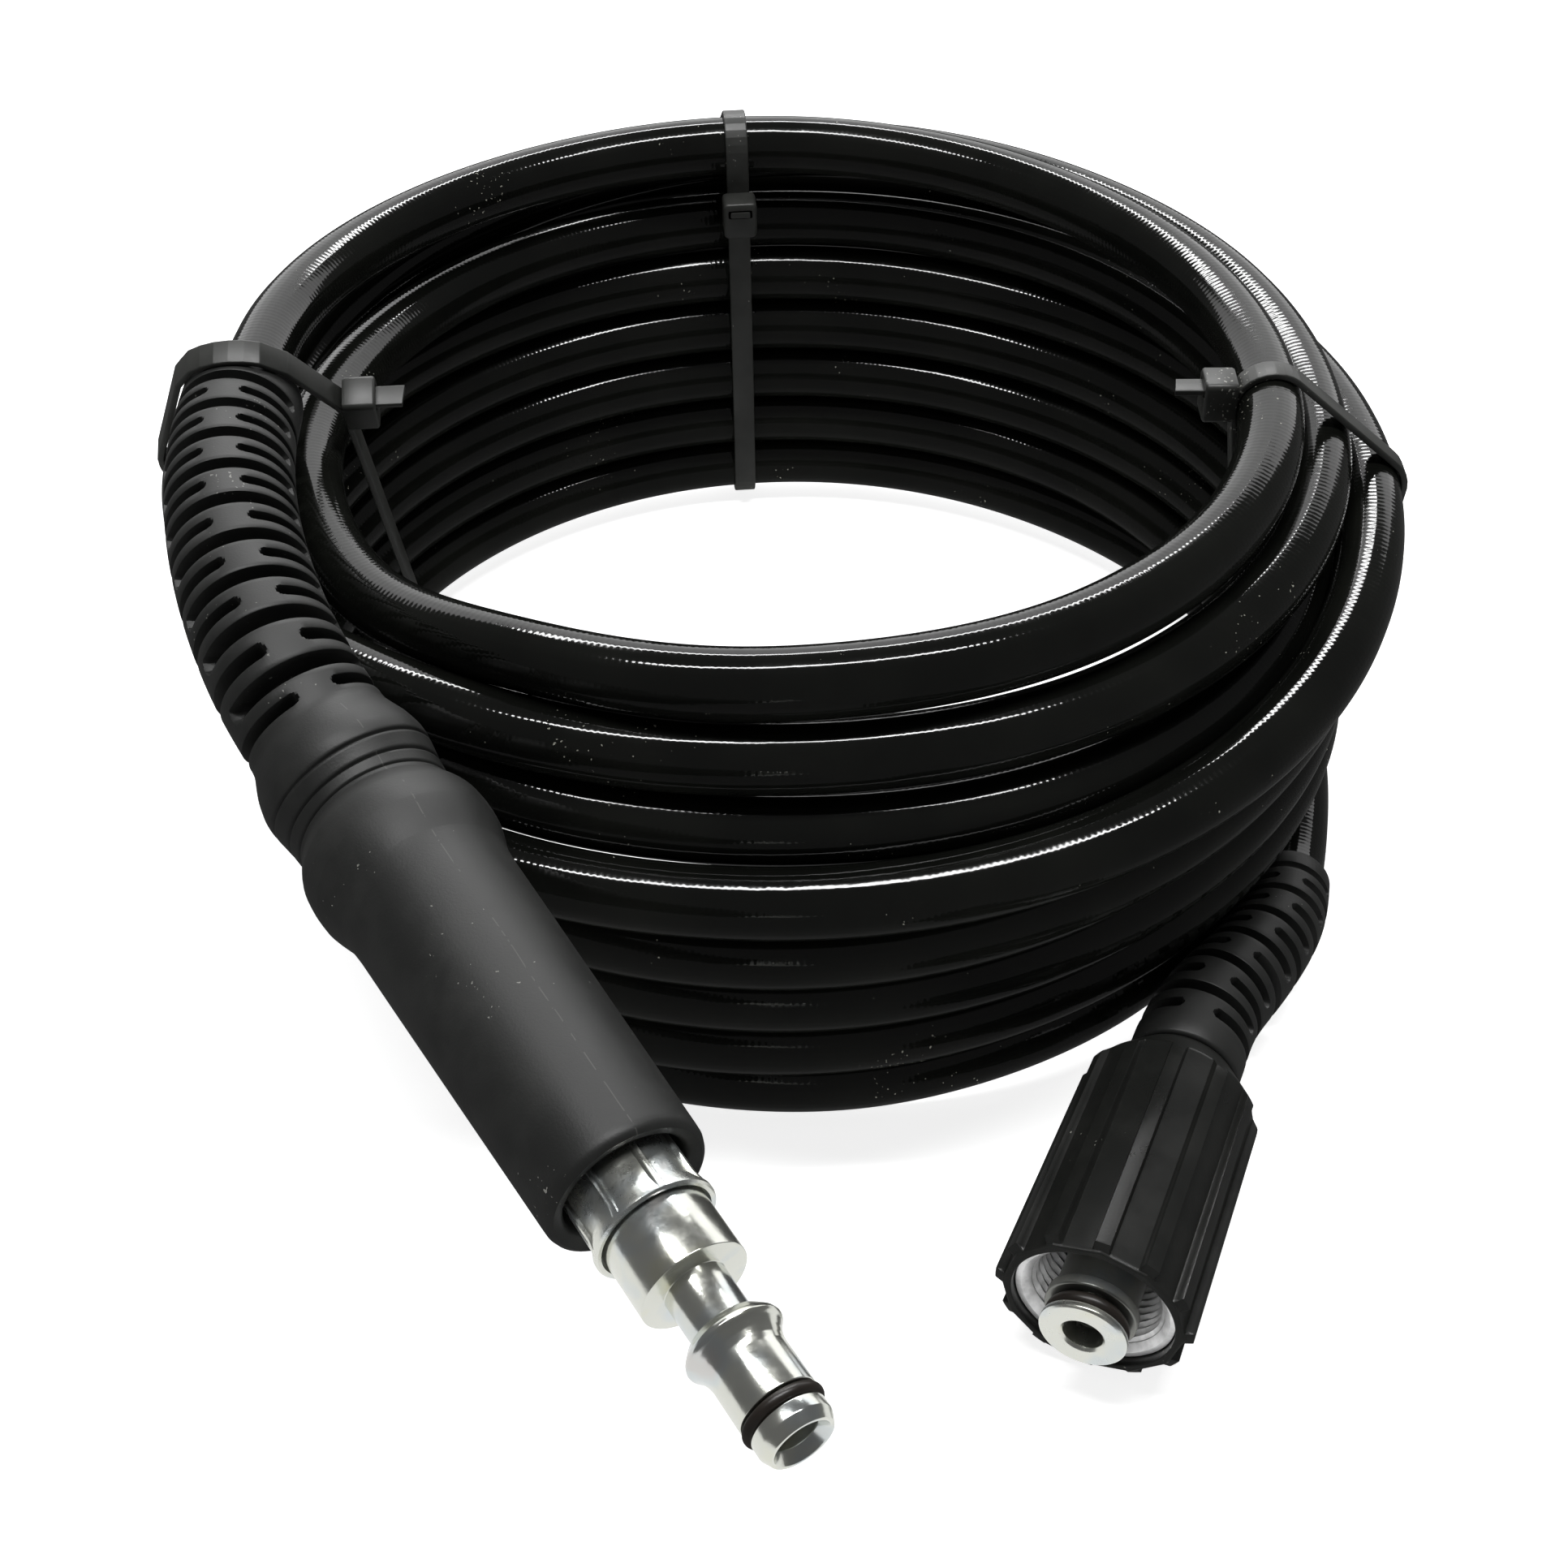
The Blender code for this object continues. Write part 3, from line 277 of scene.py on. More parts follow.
def makeCamera():
    # the photograph's own viewpoint: turned, tipped down and a touch rolled
    yaw, pitch, roll = (math.radians(studio[k]) for k in ("yaw", "pitch", "roll"))
    forward = Vector((math.sin(yaw) * math.cos(pitch), math.cos(yaw) * math.cos(pitch), -math.sin(pitch)))
    right = Vector((math.cos(yaw), -math.sin(yaw), 0.0))
    up = right.cross(forward)
    turned = right * math.cos(roll) + up * math.sin(roll)
    raised = up * math.cos(roll) - right * math.sin(roll)
    data = bpy.data.cameras.new("photoCamera")
    data.lens = studio["lens"]
    data.sensor_width = 36.0
    data.clip_start, data.clip_end = 0.01, 20.0
    camera = bpy.data.objects.new("photoCamera", data)
    matrix = Matrix((turned, raised, -forward)).transposed().to_4x4()
    place = coilCenter + np.array(studio["cameraFrom"]) + np.array([0.0, 0.0, baseHeight])
    matrix.translation = Vector(place)
    camera.matrix_world = matrix
    bpy.context.scene.collection.objects.link(camera)
    bpy.context.scene.camera = camera


makeCamera()
print("camera placed")


def newMaterial(name, color, roughness, metallic=0.0, specular=0.5):
    # a plain surface, with what is needed to add to it
    material = bpy.data.materials.new(name)
    material.use_nodes = True
    nodes, links = material.node_tree.nodes, material.node_tree.links
    shader = nodes["Principled BSDF"]
    shader.inputs["Base Color"].default_value = (*color, 1.0)
    shader.inputs["Roughness"].default_value = roughness
    shader.inputs["Metallic"].default_value = metallic
    shader.inputs["Specular IOR Level"].default_value = specular
    return material, nodes, links, shader


def work(nodes, links, operation, *values):
    # a math node fed with numbers or sockets
    made = nodes.new("ShaderNodeMath")
    made.operation = operation
    for socket, value in zip(made.inputs, values):
        if isinstance(value, (int, float)):
            socket.default_value = value
        else:
            links.new(value, socket)
    return made.outputs[0]


def noise(nodes, links, vector, scale, detail=3.0, roughness=0.55):
    made = nodes.new("ShaderNodeTexNoise")
    made.inputs["Scale"].default_value = scale
    made.inputs["Detail"].default_value = detail
    made.inputs["Roughness"].default_value = roughness
    links.new(vector, made.inputs["Vector"])
    return made.outputs["Fac"]


def ramp(nodes, links, value, stops):
    made = nodes.new("ShaderNodeValToRGB")
    elements = made.color_ramp.elements
    while len(elements) < len(stops):
        elements.new(0.5)
    for element, (where, color) in zip(elements, stops):
        element.position = where
        element.color = (*color, 1.0)
    links.new(value, made.inputs["Fac"])
    return made.outputs["Color"]


def mixColor(nodes, links, share, first, second):
    made = nodes.new("ShaderNodeMix")
    made.data_type = "RGBA"
    links.new(share, made.inputs["Factor"])
    for socket, value in (("A", first), ("B", second)):
        if isinstance(value, tuple):
            made.inputs[socket].default_value = (*value, 1.0)
        else:
            links.new(value, made.inputs[socket])
    return made.outputs["Result"]


def bump(nodes, links, shader, height, distance, strength=1.0):
    made = nodes.new("ShaderNodeBump")
    made.inputs["Strength"].default_value = strength
    made.inputs["Distance"].default_value = distance
    links.new(height, made.inputs["Height"])
    links.new(made.outputs["Normal"], shader.inputs["Normal"])


def surfaceUv(nodes, links):
    # round the piece and along it
    uv = nodes.new("ShaderNodeUVMap")
    uv.uv_map = "surface"
    split = nodes.new("ShaderNodeSeparateXYZ")
    links.new(uv.outputs[0], split.inputs[0])
    return split.outputs[0], split.outputs[1]


def grey(value):
    return (value, value, value)


grainStrength = 0.6       # of rubber and plastic
pitStrength = 0.7         # of the metals
plasticCloudScale = 90.0
dust = {"grainScale": 1500.0, "areaScale": 45.0, "areaLift": 0.5, "steepness": 40.0}


def dustOver(nodes, links, coords, color, look):
    # tiny pale specks, thicker in some places than in others
    grains = noise(nodes, links, coords, dust["grainScale"], 1.0)
    area = noise(nodes, links, coords, dust["areaScale"], 2.0)
    many = work(nodes, links, "MULTIPLY", grains, work(nodes, links, "ADD", area, dust["areaLift"]))
    above = work(nodes, links, "SUBTRACT", many, look["dustFrom"])
    share = work(nodes, links, "MULTIPLY", above, dust["steepness"])
    share = work(nodes, links, "MINIMUM", work(nodes, links, "MAXIMUM", share, 0.0), look["dustMost"])
    return mixColor(nodes, links, share, color, look["dust"])


hoseLook = {
    "color": (0.0040, 0.0043, 0.0037),
    "worn": (0.0080, 0.0085, 0.0070),
    "dust": (0.42, 0.42, 0.36),
    "dustFrom": 0.86, "dustMost": 0.8,
    "specular": 0.48,
    "roughness": (0.07, 0.13),
    "braidAlong": 0.0022,     # length of one wave of the braid under the skin
    "braidStarts": 14,
    "braidDepth": 0.000010,
    "wobbleScale": 330.0, "wobbleShare": 4.0,     # soft unevenness of the skin, against the braid's height
    "hazeScale": 38.0,
}


def hoseMaterial():
    # glossy black vinyl over a braid: crossed helical waves, faint haze and a few specks
    low, high = hoseLook["roughness"]
    material, nodes, links, shader = newMaterial("hoseBlackVinyl", hoseLook["color"], low,
                                                 specular=hoseLook["specular"])
    around, along = surfaceUv(nodes, links)
    run = work(nodes, links, "MULTIPLY", along, 2.0 * math.pi / hoseLook["braidAlong"])
    waves = []
    for sign in (1.0, -1.0):
        turns = work(nodes, links, "MULTIPLY", around, sign * hoseLook["braidStarts"] * 2.0 * math.pi)
        waves.append(work(nodes, links, "SINE", work(nodes, links, "ADD", turns, run)))
    braid = work(nodes, links, "MULTIPLY", waves[0], waves[1])
    coords = nodes.new("ShaderNodeTexCoord").outputs["Object"]
    wobble = noise(nodes, links, coords, hoseLook["wobbleScale"], 2.0)
    uneven = work(nodes, links, "MULTIPLY", wobble, hoseLook["wobbleShare"])
    bump(nodes, links, shader, work(nodes, links, "ADD", braid, uneven), hoseLook["braidDepth"])
    haze = noise(nodes, links, coords, hoseLook["hazeScale"], 4.0)
    links.new(ramp(nodes, links, haze, [(0.35, grey(low)), (0.75, grey(high))]), shader.inputs["Roughness"])
    color = ramp(nodes, links, haze, [(0.40, hoseLook["color"]), (0.80, hoseLook["worn"])])
    links.new(dustOver(nodes, links, coords, color, hoseLook), shader.inputs["Base Color"])
    return material


rubberLook = {
    "color": (0.0130, 0.0135, 0.0128),
    "pale": (0.0240, 0.0245, 0.0230),
    "line": (0.052, 0.052, 0.049),
    "lineAt": 0.478, "lineHalf": 0.0011, "lineWander": 0.007,     # in turns round the grip
    "lineFrom": 0.088,                                            # from the grip's rear end
    "wanderScale": 60.0, "breakScale": 260.0, "breakFrom": 0.50,
    "dust": (0.34, 0.34, 0.31),
    "dustFrom": 0.83, "dustMost": 0.6,
    "roughness": (0.46, 0.60),
    "scuffScale": 70.0, "grainScale": 2400.0,
    "grain": 0.00004,
}


def partingLine(nodes, links, coords):
    # a mask that is one on a thin wandering line along the top of the grip, with breaks in it
    around, along = surfaceUv(nodes, links)
    bend = noise(nodes, links, coords, rubberLook["wanderScale"], 2.0)
    wander = work(nodes, links, "MULTIPLY", bend, rubberLook["lineWander"])
    middle = rubberLook["lineAt"] + 0.5 * rubberLook["lineWander"]
    off = work(nodes, links, "SUBTRACT", work(nodes, links, "ADD", around, wander), middle)
    near = work(nodes, links, "LESS_THAN", work(nodes, links, "ABSOLUTE", off), rubberLook["lineHalf"])
    breaks = noise(nodes, links, coords, rubberLook["breakScale"], 3.0)
    shown = work(nodes, links, "GREATER_THAN", breaks, rubberLook["breakFrom"])
    front = work(nodes, links, "GREATER_THAN", along, rubberLook["lineFrom"])
    return work(nodes, links, "MULTIPLY", work(nodes, links, "MULTIPLY", near, shown), front)


def rubberMaterial(name, withLine):
    # moulded rubber: fine grain, soft scuffs and, on the grip, a pale broken parting line on top
    low, high = rubberLook["roughness"]
    material, nodes, links, shader = newMaterial(name, rubberLook["color"], low)
    coords = nodes.new("ShaderNodeTexCoord").outputs["Object"]
    scuff = noise(nodes, links, coords, rubberLook["scuffScale"], 6.0, 0.65)
    color = ramp(nodes, links, scuff, [(0.42, rubberLook["color"]), (0.80, rubberLook["pale"])])
    if withLine:
        color = mixColor(nodes, links, partingLine(nodes, links, coords), color, rubberLook["line"])
    links.new(dustOver(nodes, links, coords, color, rubberLook), shader.inputs["Base Color"])
    links.new(ramp(nodes, links, scuff, [(0.3, grey(low)), (0.8, grey(high))]), shader.inputs["Roughness"])
    grain = noise(nodes, links, coords, rubberLook["grainScale"], 3.0)
    bump(nodes, links, shader, grain, rubberLook["grain"], grainStrength)
    return material


def plasticMaterial(name, look):
    # moulded plastic: fine grain, faint cloudy wear and a few specks
    low, high = look["roughness"]
    material, nodes, links, shader = newMaterial(name, look["color"], low)
    coords = nodes.new("ShaderNodeTexCoord").outputs["Object"]
    cloud = noise(nodes, links, coords, plasticCloudScale, 5.0, 0.6)
    color = ramp(nodes, links, cloud, [(0.4, look["color"]), (0.8, look["pale"])])
    links.new(dustOver(nodes, links, coords, color, look), shader.inputs["Base Color"])
    links.new(ramp(nodes, links, cloud, [(0.3, grey(low)), (0.75, grey(high))]), shader.inputs["Roughness"])
    grain = noise(nodes, links, coords, look["grainScale"], 3.0)
    bump(nodes, links, shader, grain, look["grain"], grainStrength)
    return material


steelLook = {
    # tint and the noise value where it shows
    "tints": [(0.30, (0.66, 0.65, 0.63)), (0.40, (0.66, 0.70, 0.70)), (0.50, (0.74, 0.75, 0.69)),
              (0.62, (0.74, 0.75, 0.69)), (0.72, (0.74, 0.74, 0.62))],
    "roughness": (0.15, 0.24),
    "metallic": 0.94,
    "cloudScale": 110.0, "blotchScale": 420.0, "pitScale": 1500.0,
}


def steelMaterial(name, rougher=0.0, pits=0.00002, share=1.0):
    # thin zinc plating: faint clouds of dull, bluish and yellowish tint, and fine pits; a share
    # below one darkens it
    low, high = (value + rougher for value in steelLook["roughness"])
    tints = [(place, tuple(part * share for part in tint)) for place, tint in steelLook["tints"]]
    bright = tints[2][1]
    material, nodes, links, shader = newMaterial(name, bright, low, steelLook["metallic"])
    coords = nodes.new("ShaderNodeTexCoord").outputs["Object"]
    cloud = noise(nodes, links, coords, steelLook["cloudScale"], 2.0, 0.5)
    links.new(ramp(nodes, links, cloud, tints), shader.inputs["Base Color"])
    blotch = noise(nodes, links, coords, steelLook["blotchScale"], 4.0)
    links.new(ramp(nodes, links, blotch, [(0.35, grey(low)), (0.7, grey(high))]), shader.inputs["Roughness"])
    bump(nodes, links, shader, noise(nodes, links, coords, steelLook["pitScale"], 4.0), pits, pitStrength)
    return material


threadLook = {
    "stained": 0.58, "clean": 0.80,
    "roughness": (0.36, 0.5),
    "metallic": 0.75,
    "stainScale": 320.0, "grainScale": 1300.0,
    "grain": 0.00003,
}


def threadMaterial():
    # bare cast metal, dull and nearly white, a little stained
    low, high = threadLook["roughness"]
    clean, stained = grey(threadLook["clean"]), grey(threadLook["stained"])
    material, nodes, links, shader = newMaterial("threadMetal", clean, low, threadLook["metallic"])
    coords = nodes.new("ShaderNodeTexCoord").outputs["Object"]
    stain = noise(nodes, links, coords, threadLook["stainScale"], 4.0)
    links.new(ramp(nodes, links, stain, [(0.35, stained), (0.60, clean)]), shader.inputs["Base Color"])
    links.new(ramp(nodes, links, stain, [(0.35, grey(high)), (0.65, grey(low))]), shader.inputs["Roughness"])
    grain = noise(nodes, links, coords, threadLook["grainScale"], 4.0)
    bump(nodes, links, shader, grain, threadLook["grain"], pitStrength)
    return material


sealLook = {
    "color": (0.014, 0.011, 0.009), "pale": (0.030, 0.023, 0.018),
    "dust": (0.2, 0.18, 0.15), "dustFrom": 0.80, "dustMost": 0.4,
    "roughness": (0.30, 0.45), "grainScale": 2600.0, "grain": 0.00002,
}
nutLook = {
    "color": (0.0125, 0.0130, 0.0120), "pale": (0.0200, 0.0205, 0.0185),
    "dust": (0.35, 0.35, 0.31), "dustFrom": 0.83, "dustMost": 0.7,
    "roughness": (0.26, 0.38), "grainScale": 2400.0, "grain": 0.00003,
}
tieLook = {
    "color": (0.024, 0.025, 0.023), "pale": (0.040, 0.041, 0.038),
    "dust": (0.4, 0.4, 0.36), "dustFrom": 0.83, "dustMost": 0.7,
    "roughness": (0.32, 0.46), "grainScale": 1800.0, "grain": 0.00002,
}

hoseSkin = hoseMaterial()
gripRubber = rubberMaterial("gripRubber", True)
bootRubber = rubberMaterial("bootRubber", False)
sealRubber = plasticMaterial("sealRubber", sealLook)
nutPlastic = plasticMaterial("nutPlastic", nutLook)
tieNylon = plasticMaterial("tieNylon", tieLook)
plugSteel = steelMaterial("plugSteel")
ferruleSteel = steelMaterial("ferruleSteel", rougher=0.10, pits=0.00005)
stemSteel = steelMaterial("stemSteel", rougher=0.06)
collarSteel = steelMaterial("collarSteel", rougher=0.16, pits=0.00003, share=0.28)
threadMetal = threadMaterial()
print("materials made")

# The grip's own sizes run from its rear end.
grip = {
    "plugShoulder": 0.0173,      # from the mouth to the shoulder that the mount states
    "shoulderRadius": 0.0063,
    "slotRows": 18,
    "slotStart": 0.00605,
    "slotEnd": 0.08715,
    "slotWidths": (0.0029, 0.0022),
    "bridge": 0.0060,
    "slotFloor": 0.0069,
    "slotRadius": 0.0113,
    "columns": 84,
    "bore": 0.0066,
    "rearFlare": 0.0085,
    "mouthBore": 0.0094,
    "mouthFlare": 0.0101,
    "mouthDepth": 0.0125,
    "straight": (0.062, 0.047, 0.030, 0.015, 0.0),     # back from the mouth
    "linePoints": 120,
    "grooves": (0.0980, 0.1021, 0.1057),
    "grooveDepth": 0.00045,
    "grooveWidth": 0.00028,
    # distance from the rear end and outside diameter
    "outline": [(0.0, 0.0206), (0.0006, 0.0214), (0.0012, 0.0216), (0.0060, 0.0217), (0.0870, 0.0236),
                (0.0885, 0.0240), (0.0925, 0.0272), (0.0955, 0.0285), (0.0978, 0.0284), (0.1000, 0.0276),
                (0.1030, 0.0268), (0.1057, 0.0264), (0.1075, 0.0266), (0.1100, 0.0290), (0.1125, 0.0307),
                (0.1155, 0.0310), (0.1185, 0.0307), (0.1212, 0.0292), (0.1240, 0.0276), (0.1275, 0.0271),
                (0.1400, 0.0266), (0.1830, 0.0247)],
    "lip": [(0.0012, 0.0246), (0.0004, 0.0240), (0.0, 0.0228)],   # from the mouth
}
mouth = placeOn(Vector(plugMount["pos_m"]) - plugAxis * grip["plugShoulder"]
                - Vector((0.0, 0.0, 1.0)).cross(plugAxis).normalized() * grip["shoulderRadius"], plugAxis)


def gripLine():
    # the listed bend, then straight to the mouth
    bend = np.array(gripRoute) + coilCenter
    end = np.array(mouth.translation)
    straight = [end - np.array(plugAxis) * back for back in grip["straight"]]
    known = np.vstack([bend, straight])
    return alongLine(known, np.linspace(0.0, lengthsOf(known)[-1], grip["linePoints"]))


gripPath = gripLine()

nut = {
    "length": 0.0520,
    "lead": 0.012,              # straight hose behind its rear face
    "ribs": 12,
    "ribWidth": 0.0025,
    "bodyRadius": (0.0140, 0.0147),      # at the rear and at the front
    "ribRadius": (0.0151, 0.0162),
    "rearRadius": 0.0098,
    "shoulder": 0.0072,
    "ribEdge": (0.00014, 0.00020),       # of the rib's sides, inward and outward
    "ribSetBack": 0.0004, "ribRun": 0.0007,
    "rearEdge": 0.0006,
    "seat": 0.0132,
    "web": 0.0120,
    "rearBore": 0.0063,
}
nutMouth = placeOn(Vector(nutJoint["pos_m"]) + nutAxis * (0.5 * nut["length"]), nutAxis)


def hoseStart():
    # the whole route before the passes are pushed apart, with how freely each point may move
    # and half its room
    d = hose["diameter"]
    inGrip = gripPath[::-1]
    lengths = lengthsOf(inGrip)
    inGrip = alongLine(inGrip, np.arange(grip["mouthDepth"], lengths[-1] - 0.5 * d, 0.4 * d))
    passes = np.array(hosePasses)
    angles = np.arange(passes[0, 0], passes[-1, 0], -360.0 / hose["pointsPerTurn"])
    radius = hermite(-passes[:, 0], passes[:, 1], -angles) * d
    height = hermite(-passes[:, 0], passes[:, 2], -angles) * d + baseHeight
    turn = np.radians(angles)
    turns = np.stack([radius * np.cos(turn), radius * np.sin(turn), height], axis=1) + coilCenter
    nutRear = np.array(nutMouth.translation) - np.array(nutAxis) * nut["length"]
    lead = [nutRear - np.array(nutAxis) * nut["lead"] * share for share in (1.0, 0.5, 0.0)]
    end = np.vstack([turns[-2:], np.array(tailRoute) + coilCenter, lead])
    tail = alongLine(end, np.linspace(0.0, lengthsOf(end)[-1], hose["tailPoints"]))[4:]
    line = np.vstack([inGrip, turns, tail])
    counts = (len(inGrip), len(turns), len(tail))
    free = np.repeat((0.0, 1.0, 0.0), counts)
    free = np.convolve(free, np.ones(9) / 9.0, mode="same") * (free > 0)
    return line, free, np.repeat(np.array(hose["room"]) * d, counts)


def pushApart(line, free, reach):
    # passes that lie closer than their thickness move apart a little, again and again,
    # and each push is spread along the hose so that it stays a smooth curve
    index = np.arange(len(line))
    apart = np.abs(index[:, None] - index[None, :]) > hose["ownStretch"]
    least = (reach[:, None] + reach[None, :]) * hose["spacing"]
    home = line.copy()
    spread = np.hanning(hose["pushSpread"])
    spread /= spread.sum()
    floor = baseHeight + 0.5 * hose["diameter"]
    for _ in range(hose["rounds"]):
        offset = line[:, None, :] - line[None, :, :]
        distance = np.linalg.norm(offset, axis=2) + 1e-9
        deep = np.where(apart, np.clip(least - distance, 0.0, None), 0.0)
        push = np.sum(offset / distance[:, :, None] * deep[:, :, None], axis=1)
        touching = np.maximum(1, np.sum(deep > 0, axis=1))[:, None]
        push = push / touching * hose["pushShare"] + (home - line) * hose["homeShare"]
        push = np.stack([np.convolve(push[:, k], spread, mode="same") for k in range(3)], axis=1)
        line = line + push * free[:, None]
        line[:, 2] = np.maximum(line[:, 2], floor)
    return line


def tubeGrid(path, radius, sides):
    # center plus radius times the turning side and upward vectors
    _, side, up = framesAlong(path)
    turn = evenTurn(sides)
    ring = np.cos(turn)[:, None] * side[:, None, :] + np.sin(turn)[:, None] * up[:, None, :]
    return path[:, None, :] + radius * ring


def makeHose():
    # a round tube along the route, once its passes are apart
    line = pushApart(*hoseStart())
    for _ in range(hose["smoothings"]):
        line[1:-1] = 0.25 * line[:-2] + 0.5 * line[1:-1] + 0.25 * line[2:]
    total = lengthsOf(line)[-1]
    path = alongLine(line, np.linspace(0.0, total, int(total / hose["step"])))
    grid = tubeGrid(path, 0.5 * hose["diameter"], hose["sides"])
    piece = addPiece("coiledHose", [{"grid": grid, "wrapRows": False, "along": lengthsOf(path)}], hoseSkin)
    return piece, path, grid


hosePiece, hosePath, hoseGrid = makeHose()
settle(hosePiece, "hose", "hose_black_pvc",
       "hose_coil_stack", "hose_coil_crown", "hose_in_sleeve", "hose_tail")


slotEdge = 0.00022      # over which a slot falls to its full depth


def slotInside(along, across, shape):
    # how far inside a slot each point lies, in metres; rows alternate between top and bottom
    # slots and left and right ones, and each slot is a bar with round ends
    start, end, rows = shape["slotStart"], shape["slotEnd"], shape["slotRows"]
    pitch = (end - start) / rows
    row = np.clip(np.floor((along - start) / pitch), 0, rows - 1)
    center = start + (row + 0.5) * pitch
    odd = row % 2 == 1
    half = 0.5 * np.where(odd, shape["slotWidths"][1], shape["slotWidths"][0])
    # arc distance from the nearest bridge, which is at the top and bottom in odd rows
    quarter = np.where(odd, across, across + 0.5 * math.pi)
    fromBridge = np.abs(np.remainder(quarter + 0.5 * math.pi, math.pi) - 0.5 * math.pi) * shape["slotRadius"]
    fromEnd = fromBridge - 0.5 * shape["bridge"]
    fromSide = half - np.abs(along - center)
    corner = np.hypot(np.minimum(fromEnd - half, 0.0), np.abs(along - center))
    inside = np.where(fromEnd < half, half - corner, fromSide)
    return np.where((along > start) & (along < end), inside, -1.0)


def slotColumns(shape):
    # even columns, with more of them near the ends of the slots
    end = 0.5 * shape["bridge"] / shape["slotRadius"]
    near = np.radians([-3.5, -1.2, 0.6, 2.4, 4.6, 7.5])
    extra = [middle + sign * (end + near) for middle in np.arange(4) * 0.5 * math.pi for sign in (-1, 1)]
    columns = np.concatenate([evenTurn(shape["columns"]), *extra])
    return np.unique(np.round(np.remainder(columns, 2.0 * math.pi), 5))


def slotRows(shape):
    # rows of the mesh at the edges of each slot
    pitch = (shape["slotEnd"] - shape["slotStart"]) / shape["slotRows"]
    offsets = np.array([0.00012, -0.00002, -0.00016, -0.00034])
    places = []
    for k in range(shape["slotRows"]):
        center, half = shape["slotStart"] + (k + 0.5) * pitch, 0.5 * shape["slotWidths"][k % 2]
        places += [*(center + half + offsets), *(center - half - offsets)]
        places += [center, center - 0.4 * half, center + 0.4 * half, center + 0.5 * pitch]
    return places


def rubberSleeve(path, stations, radius, inner, shape):
    # radius by distance along the sleeve, less the slots, which go down nearly to the hose;
    # then the bore on the way back
    columns = slotColumns(shape)
    depth = smoothStep(0.0, slotEdge, slotInside(stations[:, None], columns[None, :], shape))
    outside = radius[:, None] * (1 - depth) + shape["slotFloor"] * depth
    along = np.concatenate([stations, [s for s, _ in inner]])
    total = lengthsOf(path)[-1]
    fine = np.linspace(0.0, total, 200)
    _, side, up = framesAlong(alongLine(path, fine))
    at = np.clip(along, 0.0, total)
    side, up = (np.stack([np.interp(at, fine, v[:, k]) for k in range(3)], axis=1) for v in (side, up))
    radii = np.vstack([outside, np.stack([np.full(len(columns), r) for _, r in inner])])
    ring = np.cos(columns)[None, :, None] * up[:, None, :] + np.sin(columns)[None, :, None] * side[:, None, :]
    grid = alongLine(path, at)[:, None, :] + radii[:, :, None] * ring
    return {"grid": grid, "turn": columns, "along": along}


def softened(stations, known, length):
    # half the diameter at each station, with the outline's corners smoothed except at the ends
    fine = np.linspace(0.0, length, 900)
    plain = 0.5 * np.interp(fine, known[:, 0], known[:, 1])
    soft = np.convolve(np.pad(plain, 4, mode="edge"), np.ones(9) / 9.0, mode="valid")
    inner = (stations > 0.004) & (stations < length - 0.004)
    sharp = 0.5 * np.interp(stations, known[:, 0], known[:, 1])
    return np.where(inner, np.interp(stations, fine, soft), sharp)


def makeGrip():
    # the outline's radius, less three fine grooves and the slots
    length = lengthsOf(gripPath)[-1]
    known = np.array(grip["outline"] + [(length - back, wide) for back, wide in grip["lip"]])
    grooves = np.array(grip["grooves"])
    steps = np.array([-3.2, -1.8, -1.0, -0.4, 0.0, 0.4, 1.0, 1.8, 3.2])
    cuts = grooves[:, None] + grip["grooveWidth"] * steps
    places = [*slotRows(grip), *cuts.ravel(), *known[:, 0], *np.linspace(0.088, length - 0.002, 70)]
    stations = np.unique(np.round(places, 6))
    stations = stations[(stations >= 0.0) & (stations <= length)]
    radius = softened(stations, known, length)
    fall = np.exp(-((stations[:, None] - grooves[None, :]) / grip["grooveWidth"])**2)
    radius = radius - grip["grooveDepth"] * fall.sum(axis=1)
    seat = length - grip["mouthDepth"]
    inner = [(length - 0.0003, grip["mouthFlare"]), (length - 0.0012, grip["mouthBore"]),
             (seat + 0.0004, grip["mouthBore"]), (seat, grip["bore"])]
    inner += [(seat * k / 24, grip["bore"]) for k in range(23, -1, -1)] + [(0.0, grip["rearFlare"])]
    patch = rubberSleeve(gripPath, stations, radius, inner, grip)
    piece = addPiece("gripSleeve", [patch], gripRubber, 42.0)
    settle(piece, "hose", "rubber_matte", "grip_sleeve")


makeGrip()
print("grip made")

# The bend protector's sizes run from its rear end to the nut.
boot = {
    "length": 0.062,
    "gap": 0.0003,
    "rearDiameter": 0.0150, "frontDiameter": 0.0197,
    "slotRows": 12,
    "slotStart": 0.0037,
    "slotEnd": 0.0571,
    "slotWidths": (0.0023, 0.0023),
    "bridge": 0.0050,
    "slotFloor": 0.0066,
    "slotRadius": 0.0088,
    "columns": 64,
    "bore": 0.0062,
    "edge": 0.0006,
}


